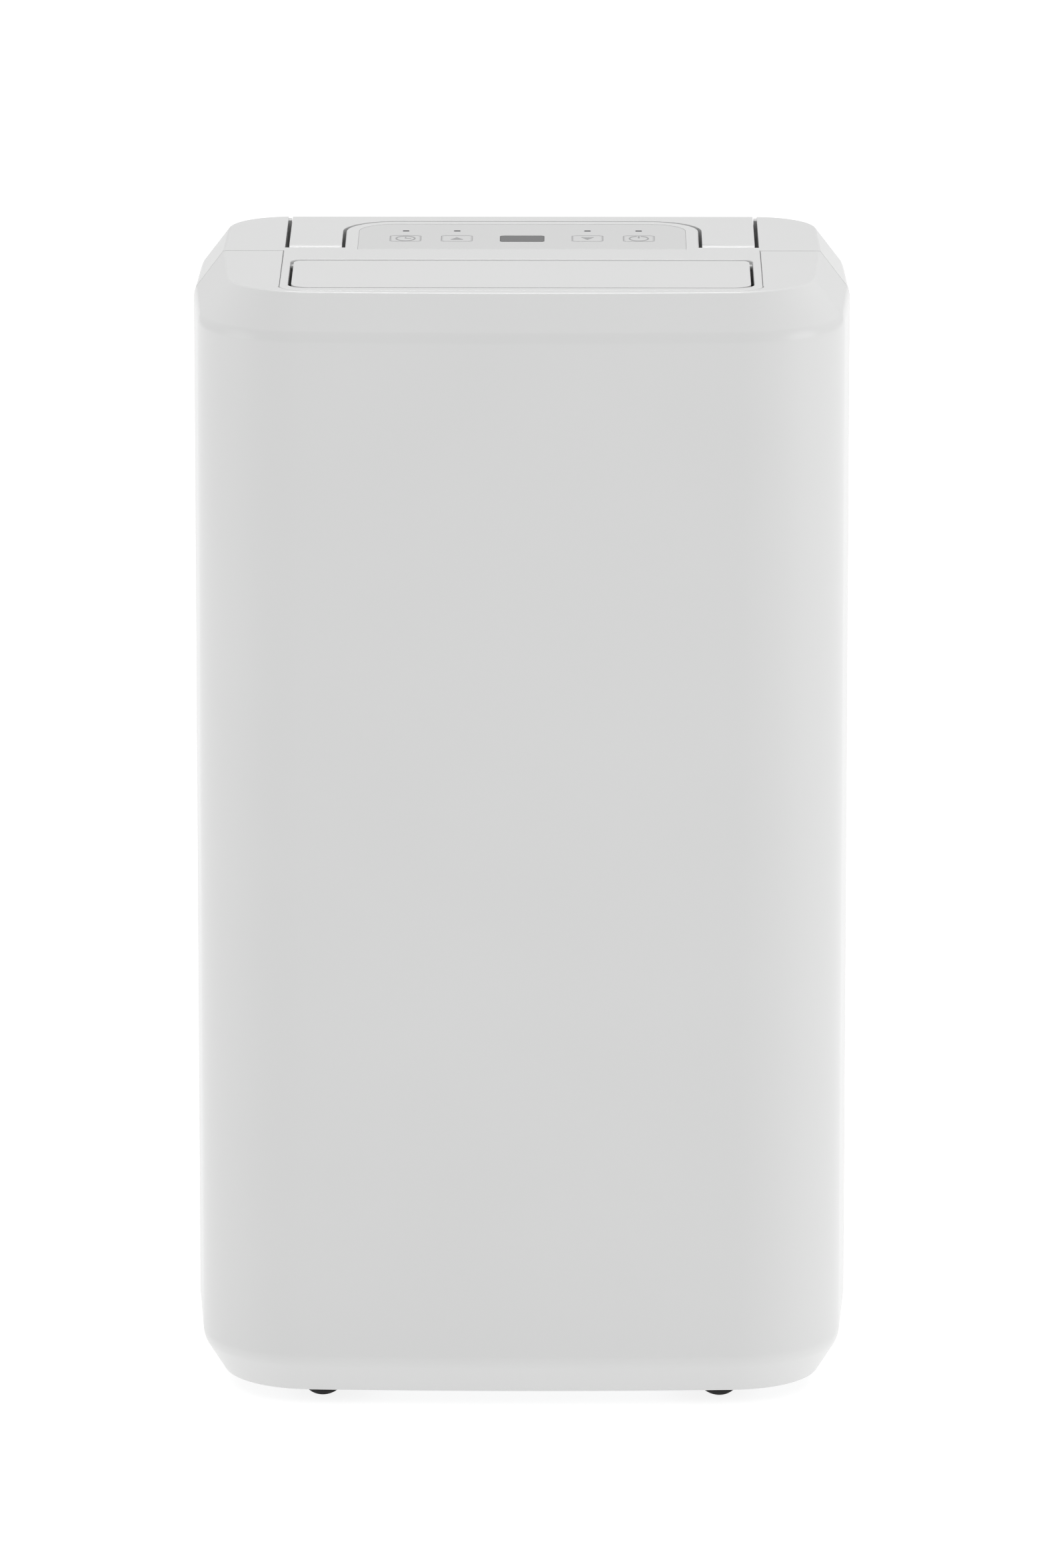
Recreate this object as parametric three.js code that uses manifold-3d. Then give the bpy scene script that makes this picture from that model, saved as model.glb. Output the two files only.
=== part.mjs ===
// A room dehumidifier on four casters, as an assembly of separate solids.
// Millimetres, +Z up. X runs across the machine, the front panel faces -Y and the origin is on the floor
// under the middle of the case.
import * as THREE from "three";
import { mergeVertices } from "three/addons/utils/BufferGeometryUtils.js";
import Module from "manifold-3d";

const wasm = await Module();
wasm.setup();

// ---- Driving dimensions ----
const halfWidth = 175; // case at its widest, along the seam between the two shells
const frontY = -124;
const rearY = 124;
const caseBottom = 8;
const caseTop = 605;
const seamY = 10;
const wall = 3;
const gap = 0.4; // between neighbours that don't move
const fine = 48; // sides of a round piece that shows
const coarse = 16; // sides of a small or hidden round piece

const frontCorner = { x: 112, y: -62, radius: 59, bowAngle: 3.08, flareAngle: 3.18 };
const rearCorner = { x: 124.5, y: 75, radius: 49, taperAngle: 1.2 };
const topBevel = { inset: 16, height: 21 };
const bottomBevel = { inset: 12, height: 19 };

const deck = { halfWidth: 126, frontY: -100.4, rearY: 18.7, thickness: 3, cornerRadius: 12 };
const flap = { halfWidth: 120.8, frontY: -93.3, rearY: -15.8, thickness: 3, cornerRadius: 9.5, barrel: 3.5 };
const flapHole = { halfWidth: 122.5, frontY: -94.1, rearY: -15, cornerRadius: 10, rearRadius: 6 };
const island = { halfWidth: 94.5, rearY: 92.8, bottom: caseTop - 19, cornerRadius: 27 };
const handle = {
  halfWidth: 124.3, armWidth: 28, thickness: 18, frontY: 19.4,
  innerRearY: 94.2, pinRadius: 3,
};
const handlePocket = { halfWidth: 126.5, floor: caseTop - 19.8, wall: 2.5 };
// Finger room under the handle's grip, open to the back.
const scoop = { halfWidth: 62, floor: caseTop - 42, frontY: 96 };
const overlay = {
  halfWidth: 87.4, frontY: 15.3, rearY: 85.8, cornerRadius: 20,
  thickness: 0.6, sink: 0.2, bed: 0.3,
};
const keys = { timer: -62.5, up: -35, down: 35, power: 62.5 };
const key = { y: 45, width: 16.6, depth: 18, cornerRadius: 2.5 };
const lightY = 66.7;
const display = { y: 44.5, width: 23.5, depth: 18 };

const intake = { halfWidth: 121, bottom: 266, top: 549, rows: 20, border: 10, bar: 3.2 };
const bucket = { halfWidth: 126, bottom: 30, top: 226, frontY: 10, wall: 2.5 };
const coil = { halfWidth: 120, bottom: 250, top: 537, folds: 24, sheet: 1.2 };
const evaporatorY = [74, 98];
const condenserY = [40, 66];
const blower = { z: 438, wheelRadius: 74, hubRadius: 20, rearY: -22, frontY: -88, blades: 16 };
const compressor = { x: -58, y: -56, radius: 52, bottom: 52, top: 212 };
const accumulator = { x: 22, y: -36, radius: 21, bottom: 70, top: 196 };

const caster = {
  x: 101, frontY: -84, rearY: 84, wheelRadius: 13, wheelWidth: 11,
  trail: 6, yaw: 18, pocketRadius: 21.5,
};

// ---- Making and cutting solids ----
function solidOf(geometry) {
  const bare = geometry.index ? geometry.toNonIndexed() : geometry.clone();
  bare.deleteAttribute("normal");
  bare.deleteAttribute("uv");
  const merged = mergeVertices(bare, 1e-4);
  return new wasm.Manifold(
    new wasm.Mesh({
      numProp: 3,
      vertProperties: new Float32Array(merged.attributes.position.array),
      triVerts: new Uint32Array(merged.index.array),
    }),
  );
}

function geometryOf(solid) {
  const mesh = solid.getMesh();
  const geometry = new THREE.BufferGeometry();
  geometry.setAttribute("position", new THREE.BufferAttribute(mesh.vertProperties, 3));
  geometry.setIndex(new THREE.BufferAttribute(mesh.triVerts, 1));
  geometry.computeVertexNormals();
  return geometry;
}

// A box between two values on each axis.
function block(x0, x1, y0, y1, z0, z1) {
  const geometry = new THREE.BoxGeometry(x1 - x0, y1 - y0, z1 - z0);
  return solidOf(geometry.translate((x0 + x1) / 2, (y0 + y1) / 2, (z0 + z1) / 2));
}

// A cylinder that runs along X, Y or Z from one value to another, about a centre given in the other two axes.
function rod(axis, radius, from, to, [a, b], sides = coarse) {
  const geometry = new THREE.CylinderGeometry(radius, radius, to - from, sides);
  const middle = (from + to) / 2;
  if (axis === "x") return solidOf(geometry.rotateZ(Math.PI / 2).translate(middle, a, b));
  if (axis === "y") return solidOf(geometry.translate(a, middle, b));
  return solidOf(geometry.rotateX(Math.PI / 2).translate(a, b, middle));
}

// A solid turned about a vertical line, from a profile of [radius, height] pairs that starts and ends on it.
function turned(profile, x, y, sides = fine) {
  const points = profile.map(([r, z]) => new THREE.Vector2(r, z));
  return solidOf(new THREE.LatheGeometry(points, sides).rotateX(Math.PI / 2).translate(x, y, 0));
}

function prism(shape, z0, z1, curveSegments = 3) {
  const geometry = new THREE.ExtrudeGeometry(shape, { depth: z1 - z0, bevelEnabled: false, curveSegments });
  return solidOf(geometry.translate(0, 0, z0));
}

// A profile drawn in Y and Z, run along X.
function prismAlongX(shape, x0, x1, curveSegments = 3) {
  const geometry = new THREE.ExtrudeGeometry(shape, { depth: x1 - x0, bevelEnabled: false, curveSegments });
  geometry.rotateZ(Math.PI / 2).rotateY(Math.PI / 2);
  return solidOf(geometry.translate(x0, 0, 0));
}

// A profile drawn in X and Z, run along Y.
function prismAlongY(shape, y0, y1, curveSegments = 3) {
  const geometry = new THREE.ExtrudeGeometry(shape, { depth: y1 - y0, bevelEnabled: false, curveSegments });
  return solidOf(geometry.rotateX(Math.PI / 2).translate(0, y1, 0));
}

// A prism whose two ends are bevelled inwards.
function bevelledPrism(shape, z0, z1, bevel, curveSegments) {
  const geometry = new THREE.ExtrudeGeometry(shape, {
    depth: z1 - z0 - 2 * bevel.height,
    bevelEnabled: true,
    bevelThickness: bevel.height,
    bevelSize: bevel.inset,
    bevelOffset: -bevel.inset,
    bevelSegments: 1,
    curveSegments,
  });
  return solidOf(geometry.translate(0, 0, z0 + bevel.height));
}

// A rectangle with rounded corners; the two at y1 can have a radius of their own.
function roundedRectangle(x0, x1, y0, y1, radius, farRadius = radius) {
  const shape = new THREE.Shape();
  shape.moveTo(x0 + radius, y0);
  shape.lineTo(x1 - radius, y0);
  shape.absarc(x1 - radius, y0 + radius, radius, -Math.PI / 2, 0);
  shape.lineTo(x1, y1 - farRadius);
  shape.absarc(x1 - farRadius, y1 - farRadius, farRadius, 0, Math.PI / 2);
  shape.lineTo(x0 + farRadius, y1);
  shape.absarc(x0 + farRadius, y1 - farRadius, farRadius, Math.PI / 2, Math.PI);
  shape.lineTo(x0, y0 + radius);
  shape.absarc(x0 + radius, y0 + radius, radius, Math.PI, Math.PI * 1.5);
  return shape;
}

// A rectangle from y0 to y1 whose corners are rounded at the y1 side only.
function archedRectangle(halfSpan, y0, y1, radius) {
  const shape = new THREE.Shape();
  shape.moveTo(-halfSpan, y0);
  shape.lineTo(halfSpan, y0);
  shape.lineTo(halfSpan, y1 - radius);
  shape.absarc(halfSpan - radius, y1 - radius, radius, 0, Math.PI / 2);
  shape.lineTo(-halfSpan + radius, y1);
  shape.absarc(-halfSpan + radius, y1 - radius, radius, Math.PI / 2, Math.PI);
  return shape;
}

// A round tube along a smooth curve through points.
function pipe(points, radius, steps) {
  const section = new THREE.Shape().absarc(0, 0, radius, 0, Math.PI * 2);
  const path = new THREE.CatmullRomCurve3(points.map((p) => new THREE.Vector3(...p)), false, "centripetal");
  return solidOf(new THREE.ExtrudeGeometry(section, { steps, extrudePath: path, curveSegments: 4 }));
}

const join = (...solids) => solids.reduce((a, b) => a.add(b));
const cut = (solid, ...tools) => tools.reduce((a, b) => a.subtract(b), solid);
const bothSides = (make) => [-1, 1].map(make);

// ---- Materials ----
function finish(color, roughness, metalness = 0) {
  return new THREE.MeshStandardMaterial({ color, roughness, metalness });
}
const white = finish(0xf1f1f0, 0.28);
const panelGrey = finish(0xdcdcdb, 0.35);
const darkLens = finish(0x4a4b4c, 0.12);
const black = finish(0x101010, 0.5);
const blackRubber = finish(0x161616, 0.85);
const innerGrey = finish(0x9a9c9e, 0.6);
const clearGrey = finish(0xc9d2d6, 0.2);
const aluminium = finish(0xc2c5c8, 0.4, 1);
const steel = finish(0x8d9194, 0.35, 1);
const paintedBlack = finish(0x1b1b1c, 0.45);
const copper = finish(0xb87333, 0.35, 1);
const circuitGreen = finish(0x1f5b34, 0.5);
const meshBlue = finish(0x5f6d78, 0.9);

const machine = new THREE.Group();
function add(name, solid, material) {
  const mesh = new THREE.Mesh(geometryOf(solid), material);
  mesh.name = name;
  machine.add(mesh);
}

// ---- Case ----
// The case seen from above: a slightly bowed front, wide front corners, sides that flare out to the seam
// and taper again behind it.
function casePlan(inset) {
  const degrees = Math.PI / 180;
  const front = frontCorner;
  const rear = rearCorner;
  const frontRadius = front.radius - inset;
  const rearRadius = rear.radius - inset;
  const bowStart = (-90 + front.bowAngle) * degrees;
  const bowEndX = front.x + frontRadius * Math.cos(bowStart);
  const bowEndY = front.y + frontRadius * Math.sin(bowStart);
  const shape = new THREE.Shape();
  shape.moveTo(-bowEndX, bowEndY);
  shape.quadraticCurveTo(0, 2 * (frontY + inset) - bowEndY, bowEndX, bowEndY);
  shape.absarc(front.x, front.y, frontRadius, bowStart, -front.flareAngle * degrees);
  shape.lineTo(halfWidth - inset, seamY);
  shape.absarc(rear.x, rear.y, rearRadius, rear.taperAngle * degrees, Math.PI / 2);
  shape.lineTo(-rear.x, rearY - inset);
  shape.absarc(-rear.x, rear.y, rearRadius, Math.PI / 2, Math.PI - rear.taperAngle * degrees);
  shape.lineTo(-halfWidth + inset, seamY);
  shape.absarc(-front.x, front.y, frontRadius, Math.PI + front.flareAngle * degrees, -Math.PI - bowStart);
  return shape;
}

const farDown = -400;
const farUp = 1200;

function caseSolid(inset, bottom) {
  const plan = casePlan(inset);
  const shoulders = bevelledPrism(plan, farDown, caseTop - inset, topBevel, 6);
  const skirt = bevelledPrism(plan, bottom, farUp, bottomBevel, 6);
  return shoulders.intersect(skirt);
}

const outerCase = caseSolid(0, caseBottom);
// The inside stays open downwards, so its bevel continues below the rim.
const innerCase = join(
  caseSolid(wall, caseBottom),
  prism(casePlan(wall + bottomBevel.inset), caseBottom - 5, caseBottom + 5),
);

const deckHoleTop = caseTop - 20;
const frontNotch = prism(
  roundedRectangle(
    -deck.halfWidth - 1.2, deck.halfWidth + 1.2,
    deck.frontY - 1.2, seamY + 60, deck.cornerRadius + 1.2,
  ),
  deckHoleTop, caseTop + 10,
);
const frontShell = cut(
  outerCase,
  innerCase,
  block(-200, 200, seamY - gap / 2, 200, 0, 700),
  frontNotch,
);
add("front_shell", frontShell, white);

// The rear shell carries a sunken tray that the handle folds into, with a finger scoop under its grip.
const pocket = handlePocket;
const trayFront = seamY + gap / 2;
const trayBlank = join(
  block(
    -pocket.halfWidth - pocket.wall, pocket.halfWidth + pocket.wall,
    trayFront, rearY - 1, pocket.floor - pocket.wall, caseTop,
  ),
  block(
    -scoop.halfWidth - pocket.wall, scoop.halfWidth + pocket.wall,
    scoop.frontY - pocket.wall, rearY - 1, scoop.floor - pocket.wall, pocket.floor,
  ),
).intersect(outerCase);
const trayHollow = join(
  block(-pocket.halfWidth, pocket.halfWidth, 0, 300, pocket.floor, caseTop + 10),
  block(-scoop.halfWidth, scoop.halfWidth, scoop.frontY, 300, scoop.floor, caseTop + 10),
);
const rearShellHollow = cut(outerCase, innerCase, block(-200, 200, -200, trayFront, 0, 700));
const intakeHole = prismAlongY(
  roundedRectangle(-intake.halfWidth - 1, intake.halfWidth + 1, intake.bottom - 1, intake.top + 1, 9),
  rearY - 20, rearY + 20,
);
const bucketHole = prismAlongY(
  roundedRectangle(-bucket.halfWidth - 1, bucket.halfWidth + 1, bucket.bottom - 1, bucket.top + 1, 9),
  rearY - 20, rearY + 20,
);
// The drain plug and the cord gland each sit in a round dish, flush with the back.
const drain = { x: -92, z: 246, bore: 8.5, head: 11.5 };
const gland = { x: 96, z: 246, bore: 8.5, head: 11.5, cordBore: 4.2 };
const dish = { radius: 13, floorY: rearY - 5, wall: 2 };
const dishBlanks = [drain, gland].map(({ x, z }) => {
  return rod("y", dish.radius + dish.wall, dish.floorY - dish.wall, rearY - 1, [x, z], 24);
});
const dishHollows = [drain, gland].map(({ x, z, bore }) => {
  return join(
    rod("y", dish.radius, dish.floorY, rearY + 20, [x, z], 24),
    rod("y", bore, rearY - 20, rearY, [x, z], 16),
  );
});
const rearShell = cut(
  join(rearShellHollow, trayBlank, ...dishBlanks),
  trayHollow,
  intakeHole,
  bucketHole,
  ...dishHollows,
);

// ---- Carrying handle: a flat bail that lies round the control panel ----
const pivot = { y: handle.frontY + handle.thickness / 2, z: caseTop - handle.thickness / 2 };
const armInner = handle.halfWidth - handle.armWidth;
const bailSide = new THREE.Shape();
bailSide.moveTo(pivot.y, pivot.z + handle.thickness / 2);
bailSide.absarc(pivot.y, pivot.z, handle.thickness / 2, Math.PI / 2, Math.PI * 1.5);
bailSide.lineTo(rearY + 20, pivot.z - handle.thickness / 2);
bailSide.lineTo(rearY + 20, pivot.z + handle.thickness / 2);
const bailBlank = prismAlongX(bailSide, -handle.halfWidth, handle.halfWidth, 6);
const bailWindow = prism(
  archedRectangle(armInner, -50, handle.innerRearY, island.cornerRadius + 1.4),
  caseTop - 60, caseTop + 10,
);
const bail = cut(
  bailBlank.intersect(outerCase),
  bailWindow,
  rod("x", handle.pinRadius + gap, -200, 200, [pivot.y, pivot.z], 20),
);
add("carry_handle", bail, white);

// A pin on each side passes from the island through the arm into the wall of the tray.
function handlePin(side, radius, extra) {
  const ends = [side * (armInner - 4 - extra), side * (pocket.halfWidth + 4 + extra)];
  return rod("x", radius, Math.min(...ends), Math.max(...ends), [pivot.y, pivot.z], 20);
}
add("handle_pin_left", handlePin(-1, handle.pinRadius, 0), steel);
add("handle_pin_right", handlePin(1, handle.pinRadius, 0), steel);
const pinBores = join(...bothSides((side) => handlePin(side, handle.pinRadius + gap, 2)));
add("rear_shell", cut(rearShell, pinBores), white);

// ---- Top deck: the frame round the outlet flap, and the raised island that holds the controls ----
const hinge = { y: flap.rearY - flap.barrel, z: caseTop - flap.barrel, pinRadius: 1.5 };
const collarDepth = 20;
const deckPlate = prism(
  roundedRectangle(-deck.halfWidth, deck.halfWidth, deck.frontY, deck.rearY + 60, deck.cornerRadius),
  caseTop - deck.thickness, caseTop,
).subtract(block(-200, 200, deck.rearY, 200, 0, 700));
const collar = prism(
  roundedRectangle(
    -flapHole.halfWidth - 2.4, flapHole.halfWidth + 2.4,
    flapHole.frontY - 2.4, flapHole.rearY + 2.4, flapHole.cornerRadius + 2.4, flapHole.rearRadius + 2.4,
  ),
  caseTop - collarDepth, caseTop - 1,
);
const flapOpening = prism(
  roundedRectangle(
    -flapHole.halfWidth, flapHole.halfWidth, flapHole.frontY, flapHole.rearY,
    flapHole.cornerRadius, flapHole.rearRadius,
  ),
  caseTop - 40, caseTop + 10,
);
const islandBlock = prism(
  archedRectangle(island.halfWidth, deck.rearY - 14, island.rearY, island.cornerRadius),
  island.bottom, caseTop,
);
const islandInside = prism(
  archedRectangle(
    island.halfWidth - 2.5, deck.rearY - 11.5, island.rearY - 2.5, island.cornerRadius - 2.5,
  ),
  island.bottom - 5, caseTop - deck.thickness - 1,
);
const panelTop = caseTop - overlay.sink;
const panelFloor = panelTop - overlay.thickness - overlay.bed;
const panelSink = prism(
  archedRectangle(overlay.halfWidth + 0.3, overlay.frontY - 0.3, overlay.rearY + 0.3, overlay.cornerRadius),
  panelFloor, caseTop + 10,
);
// The strip in front of the keypad slopes down to it.
const ramp = new THREE.Shape();
ramp.moveTo(overlay.frontY - 10, caseTop);
ramp.lineTo(overlay.frontY + 1, panelFloor);
ramp.lineTo(overlay.frontY + 1, caseTop + 5);
ramp.lineTo(overlay.frontY - 10, caseTop + 5);
const panelRamp = prismAlongX(ramp, -overlay.halfWidth - 0.3, overlay.halfWidth + 0.3);

function keyPrism(x, margin, z0, z1) {
  return prism(
    roundedRectangle(
      x - key.width / 2 - margin, x + key.width / 2 + margin,
      key.y - key.depth / 2 - margin, key.y + key.depth / 2 + margin, key.cornerRadius + margin,
    ),
    z0, z1, 1,
  );
}
function displayPrism(margin, z0, z1) {
  return prism(
    roundedRectangle(
      -display.width / 2 - margin, display.width / 2 + margin,
      display.y - display.depth / 2 - margin, display.y + display.depth / 2 + margin, 2 + margin,
    ),
    z0, z1, 1,
  );
}
const light = { width: 3.2, depth: 2.4 };
function lightBlock(x, margin, z0, z1) {
  return block(
    x - light.width / 2 - margin, x + light.width / 2 + margin,
    lightY - light.depth / 2 - margin, lightY + light.depth / 2 + margin, z0, z1,
  );
}
const keyPlaces = Object.values(keys);
const panelHoles = [
  ...keyPlaces.map((x) => keyPrism(x, gap, caseTop - 30, caseTop + 10)),
  ...keyPlaces.map((x) => lightBlock(x, gap, caseTop - 30, caseTop + 10)),
  displayPrism(gap, caseTop - 30, caseTop + 10),
];
const topDeck = cut(
  join(deckPlate, collar, islandBlock),
  flapOpening,
  islandInside,
  panelSink,
  panelRamp,
  ...panelHoles,
  pinBores,
  rod("x", hinge.pinRadius + gap, -124.2, 124.2, [hinge.y, hinge.z], 12),
);
add("top_deck", topDeck, white);

// ---- Outlet flap, hinged along its rear edge ----
const flapSide = new THREE.Shape();
flapSide.moveTo(flap.frontY, caseTop - flap.thickness);
flapSide.lineTo(hinge.y - 6, caseTop - flap.thickness);
flapSide.lineTo(hinge.y, hinge.z - flap.barrel);
flapSide.absarc(hinge.y, hinge.z, flap.barrel, -Math.PI / 2, Math.PI / 2);
flapSide.lineTo(flap.frontY, caseTop);
const flapPlan = prism(
  roundedRectangle(-flap.halfWidth, flap.halfWidth, flap.frontY, flap.rearY, flap.cornerRadius),
  caseTop - 30, caseTop + 10,
);
const flapPlate = prismAlongX(flapSide, -flap.halfWidth, flap.halfWidth).intersect(flapPlan);
const flapPin = rod("x", hinge.pinRadius, -123.9, 123.9, [hinge.y, hinge.z], 12);
add("outlet_flap", join(flapPlate, flapPin), white);

// ---- Outlet grille under the flap ----
const grille = {
  halfWidth: 120, frontY: -92, rearY: -23, top: caseTop - 10, bottom: caseTop - 18,
  rim: 3, bars: 11, cornerRadius: 8,
};
const grilleFrame = cut(
  prism(
    roundedRectangle(
      -grille.halfWidth, grille.halfWidth, grille.frontY, grille.rearY, grille.cornerRadius,
    ),
    grille.bottom, grille.top, 4,
  ),
  prism(
    roundedRectangle(
      -grille.halfWidth + grille.rim, grille.halfWidth - grille.rim,
      grille.frontY + grille.rim, grille.rearY - grille.rim, grille.cornerRadius - grille.rim,
    ),
    grille.bottom - 1, grille.top + 1, 4,
  ),
);
const grilleBars = Array.from({ length: grille.bars }, (_, i) => {
  const x = grille.halfWidth * ((2 * (i + 1)) / (grille.bars + 1) - 1);
  return block(x - 1, x + 1, grille.frontY + 1, grille.rearY - 1, grille.bottom + 0.8, grille.top - 0.8);
});
add("outlet_grille", join(grilleFrame, ...grilleBars), innerGrey);

// ---- Control panel ----
const overlaySheet = prism(
  archedRectangle(overlay.halfWidth, overlay.frontY, overlay.rearY, overlay.cornerRadius),
  panelTop - overlay.thickness, panelTop,
);
add("keypad_overlay", cut(overlaySheet, ...panelHoles), panelGrey);

const flangeZ = caseTop - deck.thickness - 1.3;
for (const [name, x] of Object.entries(keys)) {
  const cap = keyPrism(x, 0, flangeZ - 1.5, panelTop);
  const flange = keyPrism(x, 1.2, flangeZ - 1.5, flangeZ);
  const stem = rod("z", 2.5, flangeZ - 3.5, flangeZ - 1, [x, key.y], 12);
  add(`key_${name}`, join(cap, flange, stem), panelGrey);
}
add("display_window", displayPrism(0, caseTop - deck.thickness - 0.6, panelTop), darkLens);

const board = { top: caseTop - 9, thickness: 1.6 };
add("control_board", block(-80, 80, 14, 78, board.top - board.thickness, board.top), circuitGreen);
add("digit_module", block(-11, 11, display.y - 8, display.y + 8, board.top + 0.3, caseTop - 4.6), black);
const guideTop = board.top + 4;
const guideBar = block(keys.timer - 4, keys.power + 4, lightY - 2.5, lightY + 2.5, board.top + 0.3, guideTop);
const guidePosts = keyPlaces.map((x) => lightBlock(x, 0, guideTop - 1, panelTop));
add("light_guide", join(guideBar, ...guidePosts), clearGrey);

// ---- Intake: a grille with its filter, pulled off the back together ----
const grilleY = [rearY - 4, rearY];
const slotPitch = (intake.top - intake.bottom - 2 * intake.border) / intake.rows;
const slots = Array.from({ length: intake.rows }, (_, i) => {
  const z = intake.bottom + intake.border + slotPitch * i + intake.bar / 2;
  const top = z + slotPitch - intake.bar;
  return [
    block(-intake.halfWidth + intake.border, -intake.bar, rearY - 20, rearY + 20, z, top),
    block(intake.bar, intake.halfWidth - intake.border, rearY - 20, rearY + 20, z, top),
  ];
}).flat();
const intakePanel = prismAlongY(
  roundedRectangle(-intake.halfWidth, intake.halfWidth, intake.bottom, intake.top, 8),
  ...grilleY,
);
add("intake_grille", cut(intakePanel, ...slots), white);
const filterFrame = cut(
  block(
    -intake.halfWidth + 3, intake.halfWidth - 3,
    rearY - 9, rearY - 4.4, intake.bottom + 3, intake.top - 3,
  ),
  block(-intake.halfWidth + 9, intake.halfWidth - 9, rearY - 20, rearY, intake.bottom + 9, intake.top - 9),
);
const filterSheet = block(
  -intake.halfWidth + 8, intake.halfWidth - 8, rearY - 7.2, rearY - 6.2, intake.bottom + 8, intake.top - 8,
);
add("air_filter", join(filterFrame, filterSheet), meshBlue);

// ---- Heat exchangers: each is one folded fin pack between two end plates ----
function finPack([y0, y1]) {
  const pitch = (2 * coil.halfWidth - 4) / coil.folds;
  const x0 = -coil.halfWidth + 2;
  const points = [];
  for (let i = 0; i < coil.folds; i++) {
    const x = x0 + pitch * i;
    points.push([x, y0], [x + coil.sheet, y0]);
    points.push([x + coil.sheet, y1 - coil.sheet], [x + pitch, y1 - coil.sheet]);
  }
  points.push([-x0, y0], [-x0 + coil.sheet, y0], [-x0 + coil.sheet, y1], [x0, y1]);
  const outline = new THREE.Shape(points.map((p) => new THREE.Vector2(...p)));
  const plates = bothSides((side) => {
    const x = side * (coil.halfWidth - 1);
    return block(x - 1.2, x + 1.2, y0, y1, coil.bottom - 2, coil.top + 2);
  });
  return join(prism(outline, coil.bottom, coil.top), ...plates);
}
add("evaporator_coil", finPack(evaporatorY), aluminium);
add("condenser_coil", finPack(condenserY), aluminium);

// ---- Drip tray under the coils, with a spout over the bucket ----
const tray = { bottom: 243.4, top: 263.4 };
const spout = { x: 0, y: 60, radius: 7 };
const dripTray = cut(
  join(
    block(-128, 128, 34, 104, tray.bottom, tray.top),
    rod("z", spout.radius, 236, tray.bottom + 1, [spout.x, spout.y]),
  ),
  block(-125.5, 125.5, 36.5, 101.5, tray.bottom + 2.5, tray.top + 5),
  rod("z", spout.radius - 2, 200, tray.top, [spout.x, spout.y]),
);
add("drip_tray", dripTray, innerGrey);

// ---- Blower: a scroll housing that blows up through the outlet, its wheel, shaft and motor ----
const duct = { halfWidth: 112, bottom: blower.z + 75, top: caseTop - 19 };
function scroll(inset, y0, y1) {
  const points = [];
  const steps = 24;
  for (let i = 0; i <= steps; i++) {
    const angle = Math.PI * (1 + i / steps);
    const radius = blower.wheelRadius + 10 + (28 * i) / steps - inset;
    points.push(new THREE.Vector2(radius * Math.cos(angle), blower.z + radius * Math.sin(angle)));
  }
  points.push(new THREE.Vector2(duct.halfWidth - inset, duct.bottom + 2));
  points.push(new THREE.Vector2(-duct.halfWidth + inset, duct.bottom + 2));
  return prismAlongY(new THREE.Shape(points), y0, y1);
}
function scrollWithDuct(inset, y0, y1, top) {
  const throat = block(-duct.halfWidth + inset, duct.halfWidth - inset, y0, y1, duct.bottom, top);
  return join(scroll(inset, y0, y1), throat);
}
const blowerHousing = cut(
  scrollWithDuct(0, blower.frontY, blower.rearY, duct.top),
  scrollWithDuct(2.5, blower.frontY + 2.5, blower.rearY - 2.5, duct.top + 10),
  rod("y", blower.wheelRadius - 8, blower.rearY - 10, blower.rearY + 10, [0, blower.z], 32),
  rod("y", 8, blower.frontY - 10, blower.frontY + 10, [0, blower.z], 16),
);
add("blower_housing", blowerHousing, innerGrey);

const wheelSpan = [blower.frontY + 8, blower.rearY - 6];
const wheelBack = rod("y", blower.wheelRadius, wheelSpan[0], wheelSpan[0] + 3, [0, blower.z], 32);
const wheelRim = cut(
  rod("y", blower.wheelRadius, wheelSpan[1] - 3, wheelSpan[1], [0, blower.z], 32),
  rod("y", blower.wheelRadius - 11, wheelSpan[1] - 10, wheelSpan[1] + 10, [0, blower.z], 32),
);
const wheelHub = rod("y", blower.hubRadius, wheelSpan[0], wheelSpan[0] + 20, [0, blower.z], 20);
const wheelBlades = Array.from({ length: blower.blades }, (_, i) => {
  const blade = new THREE.BoxGeometry(10, wheelSpan[1] - wheelSpan[0] - 2, 1.6);
  blade.rotateY(0.6).translate(blower.wheelRadius - 7, 0, 0).rotateY((i * 2 * Math.PI) / blower.blades);
  return solidOf(blade.translate(0, (wheelSpan[0] + wheelSpan[1]) / 2, blower.z));
});
const shaftBore = rod("y", 4 + gap, -200, 200, [0, blower.z], 16);
add("blower_wheel", cut(join(wheelBack, wheelRim, wheelHub, ...wheelBlades), shaftBore), paintedBlack);
add("fan_shaft", rod("y", 4, blower.frontY - 3, wheelSpan[0] + 26, [0, blower.z], 16), steel);
const motorBody = rod("y", 40, -117.5, blower.frontY - 4, [0, blower.z], 24);
const motorLugs = bothSides((side) => {
  const x = side * 42;
  return block(x - 7, x + 7, blower.frontY - 8, blower.frontY - gap, blower.z - 6, blower.z + 6);
});
add("fan_motor", cut(join(motorBody, ...motorLugs), rod("y", 4 + gap, -95, 200, [0, blower.z], 16)), steel);

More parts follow.
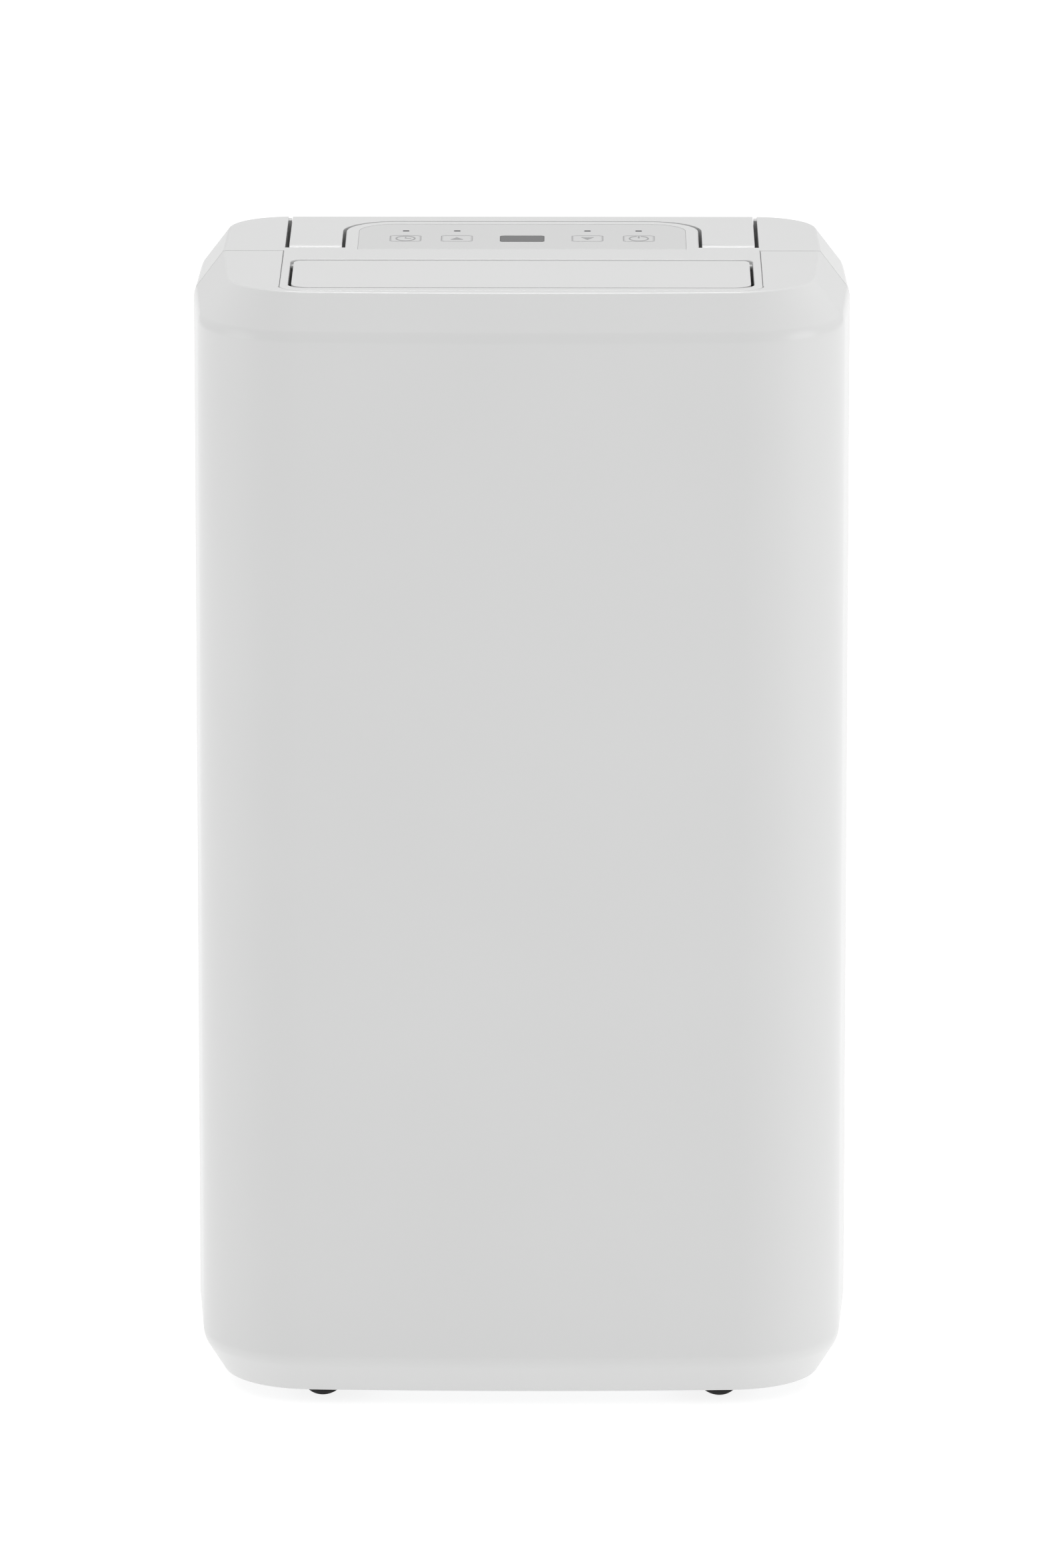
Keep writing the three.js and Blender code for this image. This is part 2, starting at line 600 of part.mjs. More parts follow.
// ---- Compressor and pipework ----
const { x: pumpX, y: pumpY } = compressor;
const feet = [
  [pumpX - 50, pumpY + 38],
  [pumpX + 50, pumpY + 38],
  [pumpX, pumpY - 44],
];
const footRadius = 11;
const footTop = compressor.bottom;
const footPlate = new THREE.Shape();
footPlate.absarc(feet[0][0], feet[0][1], footRadius, Math.PI / 2, Math.PI * 1.2);
footPlate.absarc(feet[2][0], feet[2][1], footRadius, Math.PI * 1.2, Math.PI * 1.8);
footPlate.absarc(feet[1][0], feet[1][1], footRadius, -Math.PI * 0.2, Math.PI / 2);
add(
  "compressor",
  turned(
    [
      [0, footTop - 2], [compressor.radius - 10, footTop - 2], [compressor.radius, footTop + 8],
      [compressor.radius, compressor.top - 22], [compressor.radius - 14, compressor.top - 6],
      [0, compressor.top],
    ],
    pumpX, pumpY, 24,
  ).add(prism(footPlate, footTop - 6, footTop, 4)),
  paintedBlack,
);
const floorPan = { bottom: 12, top: 15 };
feet.forEach(([x, y], i) => {
  const grommet = rod("z", 8, floorPan.top + gap, footTop - 6 - gap, [x, y], 12);
  add(`compressor_grommet_${i + 1}`, grommet, blackRubber);
});
add(
  "accumulator",
  turned(
    [
      [0, accumulator.bottom], [6, accumulator.bottom], [accumulator.radius, accumulator.bottom + 16],
      [accumulator.radius, accumulator.top - 14], [6, accumulator.top], [0, accumulator.top],
    ],
    accumulator.x, accumulator.y, 16,
  ),
  paintedBlack,
);
const coilEnd = coil.halfWidth + 4.5;
const risers = 138; // the pipes climb past the shelf on either side at this X
const pipes = { discharge: 4, suction: 5, capillary: 1.6, steps: 34 }; // their radii
const evaporatorMiddle = (evaporatorY[0] + evaporatorY[1]) / 2;
const condenserMiddle = (condenserY[0] + condenserY[1]) / 2;
add(
  "discharge_pipe",
  pipe(
    [
      [pumpX, pumpY, compressor.top + gap], [pumpX, pumpY, 224], [pumpX - 22, pumpY + 14, 230],
      [-120, -26, 230], [-risers, 0, 240], [-risers, 26, 262], [-risers, 46, 300],
      [-risers, condenserMiddle, 334], [-coilEnd, condenserMiddle, 344],
    ],
    pipes.discharge, pipes.steps,
  ),
  copper,
);
add(
  "suction_pipe",
  pipe(
    [
      [accumulator.x, accumulator.y, accumulator.top + gap], [accumulator.x, accumulator.y, 212],
      [46, -32, 227], [104, -30, 229], [risers - 3, -16, 233], [risers, 8, 244], [risers, 50, 262],
      [risers, 76, 294],
      [risers, evaporatorMiddle, 330], [coilEnd, evaporatorMiddle, 340],
    ],
    pipes.suction, pipes.steps,
  ),
  copper,
);
add(
  "capillary_tube",
  pipe(
    [
      [coilEnd, condenserMiddle, 470], [risers, condenserMiddle, 474], [148, 58, 486], [150, 69, 498],
      [148, 80, 486], [risers, evaporatorMiddle, 474], [coilEnd, evaporatorMiddle, 470],
    ],
    pipes.capillary, 24,
  ),
  copper,
);

// ---- Base, partition and electrics ----
const casterPlaces = [
  ["front_left", -1, caster.frontY],
  ["front_right", 1, caster.frontY],
  ["rear_left", -1, caster.rearY],
  ["rear_right", 1, caster.rearY],
];
const casterPocket = { top: 33, stemTop: 41, stemRadius: 4, wall: 2.5 };
const casterCups = casterPlaces.map(([, side, y]) => {
  const { wall: cupWall, top, stemTop, stemRadius } = casterPocket;
  return join(
    rod("z", caster.pocketRadius + cupWall, floorPan.bottom, top + cupWall, [side * caster.x, y]),
    rod("z", stemRadius + gap + cupWall, top, stemTop + cupWall, [side * caster.x, y], 8),
  );
});
const casterHollows = casterPlaces.map(([, side, y]) => {
  return join(
    rod("z", caster.pocketRadius, 0, casterPocket.top, [side * caster.x, y]),
    rod("z", casterPocket.stemRadius + gap, 0, casterPocket.stemTop, [side * caster.x, y], 12),
  );
});
const bucketFloor = 45;
const rails = bothSides((side) => {
  const x = side * 58;
  return block(x - 3, x + 3, 12, 104, floorPan.bottom, bucketFloor - gap);
});
const panPlan = casePlan(wall + bottomBevel.inset + 1.5);
add(
  "base_pan",
  cut(join(prism(panPlan, floorPan.bottom, floorPan.top), ...casterCups, ...rails), ...casterHollows),
  innerGrey,
);
const shelf = { bottom: 240, top: 243 };
add(
  "partition",
  cut(
    join(
      block(-128, 128, 0, 3, floorPan.top + gap, shelf.top),
      block(-128, 128, -60, 104, shelf.bottom, shelf.top),
    ),
    rod("z", spout.radius + 3, 200, 260, [spout.x, spout.y]),
  ),
  innerGrey,
);
const box = { x0: 50, x1: 148, y0: -100, y1: -12, bottom: 46, top: 136, wall: 2.5 };
add(
  "electrical_box",
  cut(
    block(box.x0, box.x1, box.y0, box.y1, box.bottom, box.top),
    block(
      box.x0 + box.wall, box.x1 - box.wall, box.y0 + box.wall, box.y1 - box.wall,
      box.bottom + box.wall, box.top + 10,
    ),
  ),
  innerGrey,
);
add("power_board", block(54, 112, -96, -16, box.bottom + 6, box.bottom + 7.6), circuitGreen);
add("transformer", block(66, 100, -84, -50, box.bottom + 8, box.bottom + 38), paintedBlack);
add("run_capacitor", rod("z", 14, box.bottom + 4, box.bottom + 70, [129, -40], 20), clearGrey);
add("humidity_sensor", block(108, 122, 108, 112, 290, 306), circuitGreen);

// ---- Water bucket with its lid and float ----
const tub = { halfWidth: bucket.halfWidth - 3, rearY: rearY - 3, top: bucket.top - 6 };
const tubBody = block(-tub.halfWidth, tub.halfWidth, bucket.frontY, tub.rearY, bucketFloor, tub.top);
const tubFascia = prismAlongY(
  roundedRectangle(-bucket.halfWidth, bucket.halfWidth, bucket.bottom, bucket.top, 8),
  rearY - 4, rearY,
);
const tubInside = block(
  -tub.halfWidth + bucket.wall, tub.halfWidth - bucket.wall,
  bucket.frontY + bucket.wall, rearY - 4, bucketFloor + bucket.wall, bucket.top,
);
// The pull is a recess whose upper edge hooks over the fingers.
const pull = { halfWidth: 45, bottom: 164, top: 192, hookTop: 204, depth: 20, wall: 2 };
const pullBlank = block(
  -pull.halfWidth - pull.wall, pull.halfWidth + pull.wall,
  rearY - pull.depth - pull.wall, rearY - 3.5, pull.bottom - pull.wall, pull.hookTop + pull.wall,
);
const pullHollow = join(
  prismAlongY(
    roundedRectangle(-pull.halfWidth, pull.halfWidth, pull.bottom, pull.top, 8),
    rearY - pull.depth, rearY + 10,
  ),
  block(-pull.halfWidth, pull.halfWidth, rearY - pull.depth, rearY - 4, pull.bottom + 8, pull.hookTop),
);
const floatPivot = { x: -108, y: 40, z: 196, pinRadius: 1.5 };
const floatBrackets = [30, 47].map((y) => {
  return block(-tub.halfWidth + 1, floatPivot.x + 4, y, y + 3, floatPivot.z - 4, floatPivot.z + 4);
});
const floatBore = rod(
  "y", floatPivot.pinRadius + gap, floatPivot.y - 20, floatPivot.y + 20, [floatPivot.x, floatPivot.z], 12,
);
add(
  "water_bucket",
  cut(join(cut(join(tubBody, tubFascia), tubInside), pullBlank, ...floatBrackets), pullHollow, floatBore),
  clearGrey,
);
add(
  "bucket_lid",
  cut(
    block(-tub.halfWidth, tub.halfWidth, bucket.frontY, rearY - 4 - gap, tub.top + gap, tub.top + gap + 2),
    rod("z", 14, 200, 240, [spout.x, spout.y], 20),
  ),
  white,
);
add(
  "bucket_float",
  cut(
    join(
      rod("y", 5, floatPivot.y - 6, floatPivot.y + 6, [floatPivot.x, floatPivot.z], 16),
      block(
        floatPivot.x, floatPivot.x + 50, floatPivot.y - 2, floatPivot.y + 2,
        floatPivot.z - 4, floatPivot.z,
      ),
      block(
        floatPivot.x + 22, floatPivot.x + 62, floatPivot.y - 16, floatPivot.y + 16,
        floatPivot.z - 24, floatPivot.z - 2,
      ),
    ),
    floatBore,
  ),
  white,
);
add("float_pin", rod("y", floatPivot.pinRadius, 29, 51, [floatPivot.x, floatPivot.z], 12), steel);

// ---- Drain plug and cord gland on the back ----
function stopper({ x, z, bore, head }) {
  return join(
    rod("y", bore - gap, dish.floorY - 9, dish.floorY + 1, [x, z], 16),
    rod("y", head, dish.floorY + gap, dish.floorY + 3.6, [x, z], 24),
  );
}
add("drain_plug", stopper(drain), blackRubber);
add(
  "cord_gland",
  cut(stopper(gland), rod("y", gland.cordBore, rearY - 30, rearY + 10, [gland.x, gland.z], 16)),
  blackRubber,
);

// ---- Casters ----
const wheelSides = 24;
for (const [place, side, y] of casterPlaces) {
  const turn = new THREE.Matrix4().makeRotationZ((-side * caster.yaw * Math.PI) / 180);
  turn.setPosition(side * caster.x, y, 0);
  const put = (name, solid, material) => {
    const mesh = new THREE.Mesh(geometryOf(solid).applyMatrix4(turn), material);
    mesh.name = `${name}_${place}`;
    machine.add(mesh);
  };
  const x = side * caster.trail;
  const radius = caster.wheelRadius;
  const halfTread = caster.wheelWidth / 2;
  const legInner = halfTread + gap;
  const legOuter = legInner + 2.4;
  const plate = rod("z", 12, 27.2, 30, [x * 0.4, 0], 12);
  const bridge = block(x - 6, x + 6, -legOuter, legOuter, 27.2, 30);
  const legs = bothSides((way) => {
    const inner = way * legInner;
    const outer = way * legOuter;
    return join(
      block(x - 5, x + 5, Math.min(inner, outer), Math.max(inner, outer), radius, 29),
      rod("y", 6.5, Math.min(inner, outer), Math.max(inner, outer), [x, radius], 12),
    );
  });
  const stem = rod("z", casterPocket.stemRadius, 29, casterPocket.stemTop - 1, [0, 0], 12);
  const axleBore = rod("y", 2 + gap, -50, 50, [x, radius], 12);
  put("caster_fork", cut(join(plate, bridge, ...legs, stem), axleBore), black);
  // The tread is a row of flats, and the wheel stands on one of them.
  const rim = radius / Math.cos(Math.PI / wheelSides);
  const tread = [
    [0, -halfTread], [rim - 1.5, -halfTread], [rim, -halfTread + 1.5],
    [rim, halfTread - 1.5], [rim - 1.5, halfTread], [0, halfTread],
  ].map(([r, t]) => new THREE.Vector2(r, t));
  const lathe = new THREE.LatheGeometry(tread, wheelSides).rotateY(Math.PI / wheelSides);
  const wheel = solidOf(lathe.translate(x, 0, radius));
  put("caster_wheel", cut(wheel, axleBore), black);
  put("caster_axle", rod("y", 2, -legOuter + 0.2, legOuter - 0.2, [x, radius], 12), steel);
}

export default machine;
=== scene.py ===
import math

import bmesh
import bpy
from mathutils import Matrix, Vector


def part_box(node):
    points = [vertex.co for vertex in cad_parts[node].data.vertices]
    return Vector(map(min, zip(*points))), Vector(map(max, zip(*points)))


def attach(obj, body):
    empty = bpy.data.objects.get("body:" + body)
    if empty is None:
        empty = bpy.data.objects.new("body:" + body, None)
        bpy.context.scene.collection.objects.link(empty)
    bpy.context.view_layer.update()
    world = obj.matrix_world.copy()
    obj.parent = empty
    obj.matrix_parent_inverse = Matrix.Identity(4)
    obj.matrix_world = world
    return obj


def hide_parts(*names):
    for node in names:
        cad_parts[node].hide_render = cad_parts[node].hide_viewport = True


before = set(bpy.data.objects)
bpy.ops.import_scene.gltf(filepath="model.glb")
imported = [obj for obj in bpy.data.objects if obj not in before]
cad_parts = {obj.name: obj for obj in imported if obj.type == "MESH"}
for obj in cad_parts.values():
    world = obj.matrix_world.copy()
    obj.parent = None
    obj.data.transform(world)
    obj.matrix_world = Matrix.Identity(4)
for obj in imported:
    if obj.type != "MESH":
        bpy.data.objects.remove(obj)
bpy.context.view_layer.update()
mm = 0.001
alongX, alongY, alongZ = 0, 1, 2  # places of the three numbers in a point
beyond = 200  # a cutter reaches this far, well outside the case
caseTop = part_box("front_shell")[1].z / mm  # the whole top lies at this level
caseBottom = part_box("front_shell")[0].z / mm
print("frame loaded, case from", round(caseBottom, 1), "to", round(caseTop, 1), "mm")


# picking and shaping in edit mode; every size in this script is in millimetres
def selectAll():
    bpy.ops.mesh.select_all(action="SELECT")


def deselectAll():
    bpy.ops.object.select_all(action="DESELECT")


def makeActive(piece):
    deselectAll()
    piece.select_set(True)
    bpy.context.view_layer.objects.active = piece


def startPiece(name, addPrimitive, **settings):
    deselectAll()
    addPrimitive(**settings)
    piece = bpy.context.active_object
    piece.name = name
    piece.data.name = name
    bpy.ops.object.transform_apply(location=True, rotation=True, scale=True)
    return piece


def editPiece(piece):
    makeActive(piece)
    bpy.ops.object.mode_set(mode="EDIT")


def leaveEdit():
    selectAll()
    bpy.ops.mesh.normals_make_consistent(inside=False)
    bpy.ops.object.mode_set(mode="OBJECT")


def pick(piece, kind, wanted):
    bpy.ops.mesh.select_mode(type=kind)
    bpy.ops.mesh.select_all(action="DESELECT")
    shape = bmesh.from_edit_mesh(piece.data)
    parts = {"VERT": shape.verts, "EDGE": shape.edges, "FACE": shape.faces}[kind]
    for part in parts:
        if wanted(part):
            part.select_set(True)
    bmesh.update_edit_mesh(piece.data)


def pickCap(piece, direction):
    pick(piece, "FACE", lambda face: face.normal.dot(Vector(direction)) > 0.999)


def extrudeBy(x, y, z):
    bpy.ops.mesh.extrude_region_move(TRANSFORM_OT_translate={"value": Vector((x, y, z)) * mm})


def insetBy(thickness, depth=0.0):
    bpy.ops.mesh.inset(thickness=thickness * mm, depth=depth * mm)


def roundEdges(piece, wanted, width, segments=3):
    # edges are picked by a test on their two ends, in millimetres, and bevelled
    pick(piece, "EDGE", lambda edge: wanted(*[end.co / mm for end in edge.verts], edge))
    bpy.ops.mesh.bevel(offset=width * mm, segments=segments, affect="EDGES", clamp_overlap=True)


def at(value, level, slack=0.06):
    return abs(value - level) < slack


def bothAt(a, b, axis, level, slack=0.06):
    return at(a[axis], level, slack) and at(b[axis], level, slack)


def edgesAt(axis, level):
    return lambda a, b, edge: bothAt(a, b, axis, level)


def bothWithin(a, b, axis, low, high):
    return low < a[axis] < high and low < b[axis] < high


def bent(edge, least=0.5):
    # a corner between two faces, by its angle in radians
    return edge.calc_face_angle(0) > least


planes = {  # how an outline's two numbers and its level lie in space, and the axis its arcs turn about
    "z": (lambda a, b, level: Vector((a, b, level)) * mm, (0, 0, 1)),
    "x": (lambda a, b, level: Vector((level, a, b)) * mm, (1, 0, 0)),
    "y": (lambda a, b, level: Vector((a, level, b)) * mm, (0, -1, 0)),
}


def drawOutline(name, plane, level, first, steps):
    # one point draws the outline: a run of two numbers is extruded to its end,
    # and an arc of four is spun about its centre by its degrees in its number of pieces
    place, axis = planes[plane]
    piece = startPiece(name, bpy.ops.mesh.primitive_plane_add, size=mm, location=place(*first, level))
    editPiece(piece)
    bpy.ops.mesh.select_mode(type="VERT")
    selectAll()
    bpy.ops.mesh.merge(type="CENTER")
    here = place(*first, level)
    for step in steps:
        if len(step) == 2:
            there = place(*step, level)
            bpy.ops.mesh.extrude_region_move(TRANSFORM_OT_translate={"value": there - here})
            here = there
        else:
            centreA, centreB, degrees, pieces = step
            centre = place(centreA, centreB, level)
            bpy.ops.mesh.spin(steps=pieces, angle=-math.radians(degrees), center=centre, axis=axis)
            here = centre + Matrix.Rotation(math.radians(degrees), 3, axis) @ (here - centre)
    selectAll()
    bpy.ops.mesh.remove_doubles(threshold=0.01 * mm)
    bpy.ops.mesh.edge_face_add()
    return piece


def drawSolid(name, plane, low, high, outline):
    # stays in edit mode for what follows
    piece = drawOutline(name, plane, low, *outline)
    along = {"z": (0, 0, 1), "x": (1, 0, 0), "y": (0, 1, 0)}[plane]
    extrudeBy(*[part * (high - low) for part in along])
    selectAll()
    bpy.ops.mesh.normals_make_consistent(inside=False)
    return piece


def makeSolid(name, plane, low, high, outline):
    piece = drawSolid(name, plane, low, high, outline)
    leaveEdit()
    return piece


def roundedBox(x0, x1, y0, y1, near, far=None, pieces=8):
    far = near if far is None else far
    return (x0 + near, y0), [
        (x1 - near, y0),
        (x1 - near, y0 + near, 90, pieces),
        (x1, y1 - far),
        (x1 - far, y1 - far, 90, pieces),
        (x0 + far, y1),
        (x0 + far, y1 - far, 90, pieces),
        (x0, y0 + near),
        (x0 + near, y0 + near, 90, pieces),
    ]


def centredBox(x, y, width, depth, margin, corner):
    halfWidth, halfDepth = width / 2 + margin, depth / 2 + margin
    return roundedBox(x - halfWidth, x + halfWidth, y - halfDepth, y + halfDepth, corner + margin)


def archedBox(halfWidth, y0, y1, radius, pieces=16):
    return (-halfWidth, y0), [
        (halfWidth, y0), (halfWidth, y1 - radius), (halfWidth - radius, y1 - radius, 90, pieces),
        (radius - halfWidth, y1), (radius - halfWidth, y1 - radius, 90, pieces),
    ]


def block(name, low, high):
    piece = startPiece(name, bpy.ops.mesh.primitive_cube_add, size=1)
    editPiece(piece)
    selectAll()
    size = Vector(high) - Vector(low)
    bpy.ops.transform.resize(value=size * mm)
    bpy.ops.transform.translate(value=(Vector(low) + size / 2) * mm)
    leaveEdit()
    return piece


def rod(name, plane, radius, low, high, centre, sides=48):
    first = (centre[0] + radius, centre[1])
    piece = makeSolid(name, plane, low, high, (first, [(*centre, 360, sides)]))
    return piece


def copyOf(piece, name):
    makeActive(piece)
    bpy.ops.object.duplicate()
    copy = bpy.context.active_object
    copy.name = name
    copy.data.name = name
    return copy


def discard(*pieces):
    deselectAll()
    for piece in pieces:
        piece.select_set(True)
    bpy.ops.object.delete()


def joinPieces(piece, *others):
    makeActive(piece)
    for other in others:
        other.select_set(True)
    bpy.ops.object.join()
    return piece


def applyModifier(piece, kind, **settings):
    makeActive(piece)
    bpy.ops.object.modifier_add(type=kind)
    modifier = piece.modifiers[-1]
    for setting, value in settings.items():
        setattr(modifier, setting, value)
    bpy.ops.object.modifier_apply(modifier=modifier.name)


def carve(piece, *tools, operation="DIFFERENCE", keepTools=False):
    for tool in tools:
        applyModifier(piece, "BOOLEAN", operation=operation, solver="EXACT", object=tool)
    if not keepTools:
        discard(*tools)
    return piece


def finishPiece(piece, look, body, slotName, *nodes, smooth=32, welded=True):
    editPiece(piece)
    if welded:
        selectAll()
        bpy.ops.mesh.remove_doubles(threshold=0.004 * mm)
    leaveEdit()
    makeActive(piece)
    bpy.ops.object.shade_smooth_by_angle(angle=math.radians(smooth))
    applyModifier(piece, "WEIGHTED_NORMAL", keep_sharp=True, weight=90)
    piece.data.materials.clear()
    piece.data.materials.append(look)
    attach(piece, body)
    if nodes:
        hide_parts(*nodes)
    return piece


# finishes
def addNode(material, kind, **inputs):
    node = material.node_tree.nodes.new(kind)
    for name, value in inputs.items():
        node.inputs[name].default_value = value
    return node


def newLook(name, roughness=0.4, metallic=0.0, coat=0.0, transmission=0.0, specular=0.5):
    material = bpy.data.materials.new(name)
    material.use_nodes = True
    shader = material.node_tree.nodes["Principled BSDF"]
    shader.inputs["Roughness"].default_value = roughness
    shader.inputs["Metallic"].default_value = metallic
    shader.inputs["Coat Weight"].default_value = coat
    shader.inputs["Coat Roughness"].default_value = 0.06
    shader.inputs["Transmission Weight"].default_value = transmission
    shader.inputs["Specular IOR Level"].default_value = specular
    shader.inputs["IOR"].default_value = 1.46  # common plastics
    return material, shader


def objectSpace(material, stretch=(1, 1, 1), turn=(0, 0, 0)):
    coords = addNode(material, "ShaderNodeTexCoord")
    mapping = addNode(material, "ShaderNodeMapping", Scale=stretch, Rotation=turn)
    material.node_tree.links.new(coords.outputs["Object"], mapping.inputs["Vector"])
    return mapping.outputs["Vector"]


def tint(material, shader, factor, dark, light):
    mix = material.node_tree.nodes.new("ShaderNodeMix")
    mix.data_type = "RGBA"
    mix.inputs["A"].default_value = (*dark, 1)
    mix.inputs["B"].default_value = (*light, 1)
    material.node_tree.links.new(factor, mix.inputs["Factor"])
    material.node_tree.links.new(mix.outputs["Result"], shader.inputs["Base Color"])


def roughen(material, shader, factor, low, high):
    spread = addNode(material, "ShaderNodeMapRange", **{"To Min": low, "To Max": high})
    material.node_tree.links.new(factor, spread.inputs["Value"])
    material.node_tree.links.new(spread.outputs["Result"], shader.inputs["Roughness"])


def emboss(material, shader, height, strength, depth):
    bump = addNode(material, "ShaderNodeBump", Strength=strength, Distance=depth * mm)
    material.node_tree.links.new(height, bump.inputs["Height"])
    material.node_tree.links.new(bump.outputs["Normal"], shader.inputs["Normal"])


def plasticLook(name, look):
    # a slow drift of colour, a finer one of gloss, and the mould's own grain as bump
    material, shader = newLook(name, coat=look.get("coat", 0), transmission=look.get("clear", 0),
                               specular=look.get("specular", 0.5))
    links = material.node_tree.links
    space = objectSpace(material)
    drift = addNode(material, "ShaderNodeTexNoise", Scale=look.get("driftScale", 9), Detail=3)
    grain = addNode(material, "ShaderNodeTexNoise", Scale=look["grainScale"], Detail=2, Roughness=0.45)
    for noise in (drift, grain):
        links.new(space, noise.inputs["Vector"])
    tint(material, shader, drift.outputs["Fac"], look["dark"], look["light"])
    roughen(material, shader, grain.outputs["Fac"], *look["gloss"])
    emboss(material, shader, grain.outputs["Fac"], look["grain"], look["grainDepth"])
    return material


def metalLook(name, look):
    # drawn or brushed metal: a noise stretched along the way it was worked
    material, shader = newLook(name, metallic=1.0)
    space = objectSpace(material, stretch=look["brush"])
    scratches = addNode(material, "ShaderNodeTexNoise", Scale=look["grainScale"], Detail=4)
    material.node_tree.links.new(space, scratches.inputs["Vector"])
    tint(material, shader, scratches.outputs["Fac"], look["dark"], look["light"])
    roughen(material, shader, scratches.outputs["Fac"], *look["gloss"])
    emboss(material, shader, scratches.outputs["Fac"], look["grain"], look["grainDepth"])
    return material


def meshLook(name, look):
    # woven nylon: two sets of threads from waves at right angles
    material, shader = newLook(name, roughness=0.7)
    links = material.node_tree.links
    space = objectSpace(material)
    height = addNode(material, "ShaderNodeMath")
    height.operation = "MAXIMUM"
    for index, direction in enumerate(("X", "Z")):
        wave = addNode(material, "ShaderNodeTexWave", Scale=look["threads"], Distortion=0.0)
        wave.bands_direction = direction
        links.new(space, wave.inputs["Vector"])
        links.new(wave.outputs["Fac"], height.inputs[index])
    tint(material, shader, height.outputs["Value"], look["dark"], look["light"])
    emboss(material, shader, height.outputs["Value"], *look["weave"])
    return material


def boardLook(name, look):
    # solder resist over copper tracks
    material, shader = newLook(name, coat=0.3)
    links = material.node_tree.links
    space = objectSpace(material)
    tracks = addNode(material, "ShaderNodeTexBrick", Scale=look["tracks"], **{"Mortar Size": 0.03})
    tracks.inputs["Color1"].default_value = (*look["dark"], 1)
    tracks.inputs["Color2"].default_value = (*look["light"], 1)
    tracks.inputs["Mortar"].default_value = (*look["copper"], 1)
    links.new(space, tracks.inputs["Vector"])
    links.new(tracks.outputs["Color"], shader.inputs["Base Color"])
    roughen(material, shader, tracks.outputs["Fac"], *look["gloss"])
    emboss(material, shader, tracks.outputs["Fac"], *look["relief"])
    return material


plastics = {
    "caseWhite": {"dark": (0.638, 0.64, 0.638), "light": (0.66, 0.662, 0.66), "gloss": (0.28, 0.36),
                  "coat": 0.1, "specular": 0.25, "grainScale": 1400, "grain": 0.05, "grainDepth": 0.02},
    "panelFilm": {"dark": (0.575, 0.577, 0.575), "light": (0.595, 0.597, 0.595), "gloss": (0.3, 0.42),
                  "coat": 0.1, "grainScale": 3200, "grain": 0.12, "grainDepth": 0.02},
    "printedGrey": {"dark": (0.29, 0.29, 0.295), "light": (0.33, 0.33, 0.335), "gloss": (0.35, 0.5),
                    "grainScale": 3000, "grain": 0.1, "grainDepth": 0.01},
    "printedPale": {"dark": (0.44, 0.44, 0.445), "light": (0.47, 0.47, 0.475), "gloss": (0.35, 0.5),
                    "grainScale": 3000, "grain": 0.1, "grainDepth": 0.01},
    "smokedLens": {"dark": (0.022, 0.023, 0.025), "light": (0.03, 0.031, 0.033), "gloss": (0.05, 0.09),
                   "specular": 0.4, "grainScale": 600, "grain": 0.02, "grainDepth": 0.01},
    "lightPipe": {"dark": (0.01, 0.01, 0.011), "light": (0.02, 0.02, 0.022), "gloss": (0.6, 0.8),
                  "specular": 0.08, "grainScale": 900, "grain": 0.05, "grainDepth": 0.01},
    "casterNylon": {"dark": (0.006, 0.006, 0.006), "light": (0.012, 0.012, 0.012), "gloss": (0.35, 0.5),
                    "grainScale": 1800, "grain": 0.25, "grainDepth": 0.03},
    "blackRubber": {"dark": (0.012, 0.012, 0.012), "light": (0.024, 0.024, 0.024), "gloss": (0.62, 0.8),
                    "grainScale": 2200, "grain": 0.35, "grainDepth": 0.04},
    "innerPlastic": {"dark": (0.25, 0.26, 0.27), "light": (0.31, 0.32, 0.33), "gloss": (0.45, 0.6),
                     "grainScale": 1200, "grain": 0.2, "grainDepth": 0.03},
    "bucketSmoke": {"dark": (0.5, 0.54, 0.56), "light": (0.6, 0.64, 0.66), "gloss": (0.14, 0.24),
                    "coat": 0.2, "clear": 0.35, "grainScale": 700, "grain": 0.06, "grainDepth": 0.03},
    "pumpEnamel": {"dark": (0.012, 0.012, 0.013), "light": (0.022, 0.022, 0.024), "gloss": (0.25, 0.38),
                   "grainScale": 500, "grain": 0.2, "grainDepth": 0.06, "coat": 0.3},
}
metals = {
    "platedSteel": {"dark": (0.42, 0.43, 0.44), "light": (0.56, 0.57, 0.58), "gloss": (0.22, 0.36),
                    "brush": (1, 14, 14), "grainScale": 60, "grain": 0.15, "grainDepth": 0.02},
    "finAluminium": {"dark": (0.62, 0.63, 0.64), "light": (0.76, 0.77, 0.78), "gloss": (0.28, 0.42),
                     "brush": (12, 12, 1), "grainScale": 70, "grain": 0.2, "grainDepth": 0.03},
    "drawnCopper": {"dark": (0.58, 0.28, 0.16), "light": (0.78, 0.45, 0.3), "gloss": (0.24, 0.4),
                    "brush": (3, 3, 1), "grainScale": 90, "grain": 0.15, "grainDepth": 0.02},
}
looks = {name: plasticLook(name, look) for name, look in plastics.items()}
looks.update({name: metalLook(name, look) for name, look in metals.items()})
looks["filterMesh"] = meshLook("filterMesh", {
    "threads": 420, "dark": (0.05, 0.065, 0.08), "light": (0.16, 0.2, 0.24), "weave": (0.8, 0.3),
})
looks["circuitBoard"] = boardLook("circuitBoard", {
    "tracks": 90, "dark": (0.016, 0.1, 0.04), "light": (0.02, 0.13, 0.05), "copper": (0.06, 0.2, 0.09),
    "gloss": (0.4, 0.28), "relief": (0.3, 0.05),
})
print("finishes made:", len(looks))


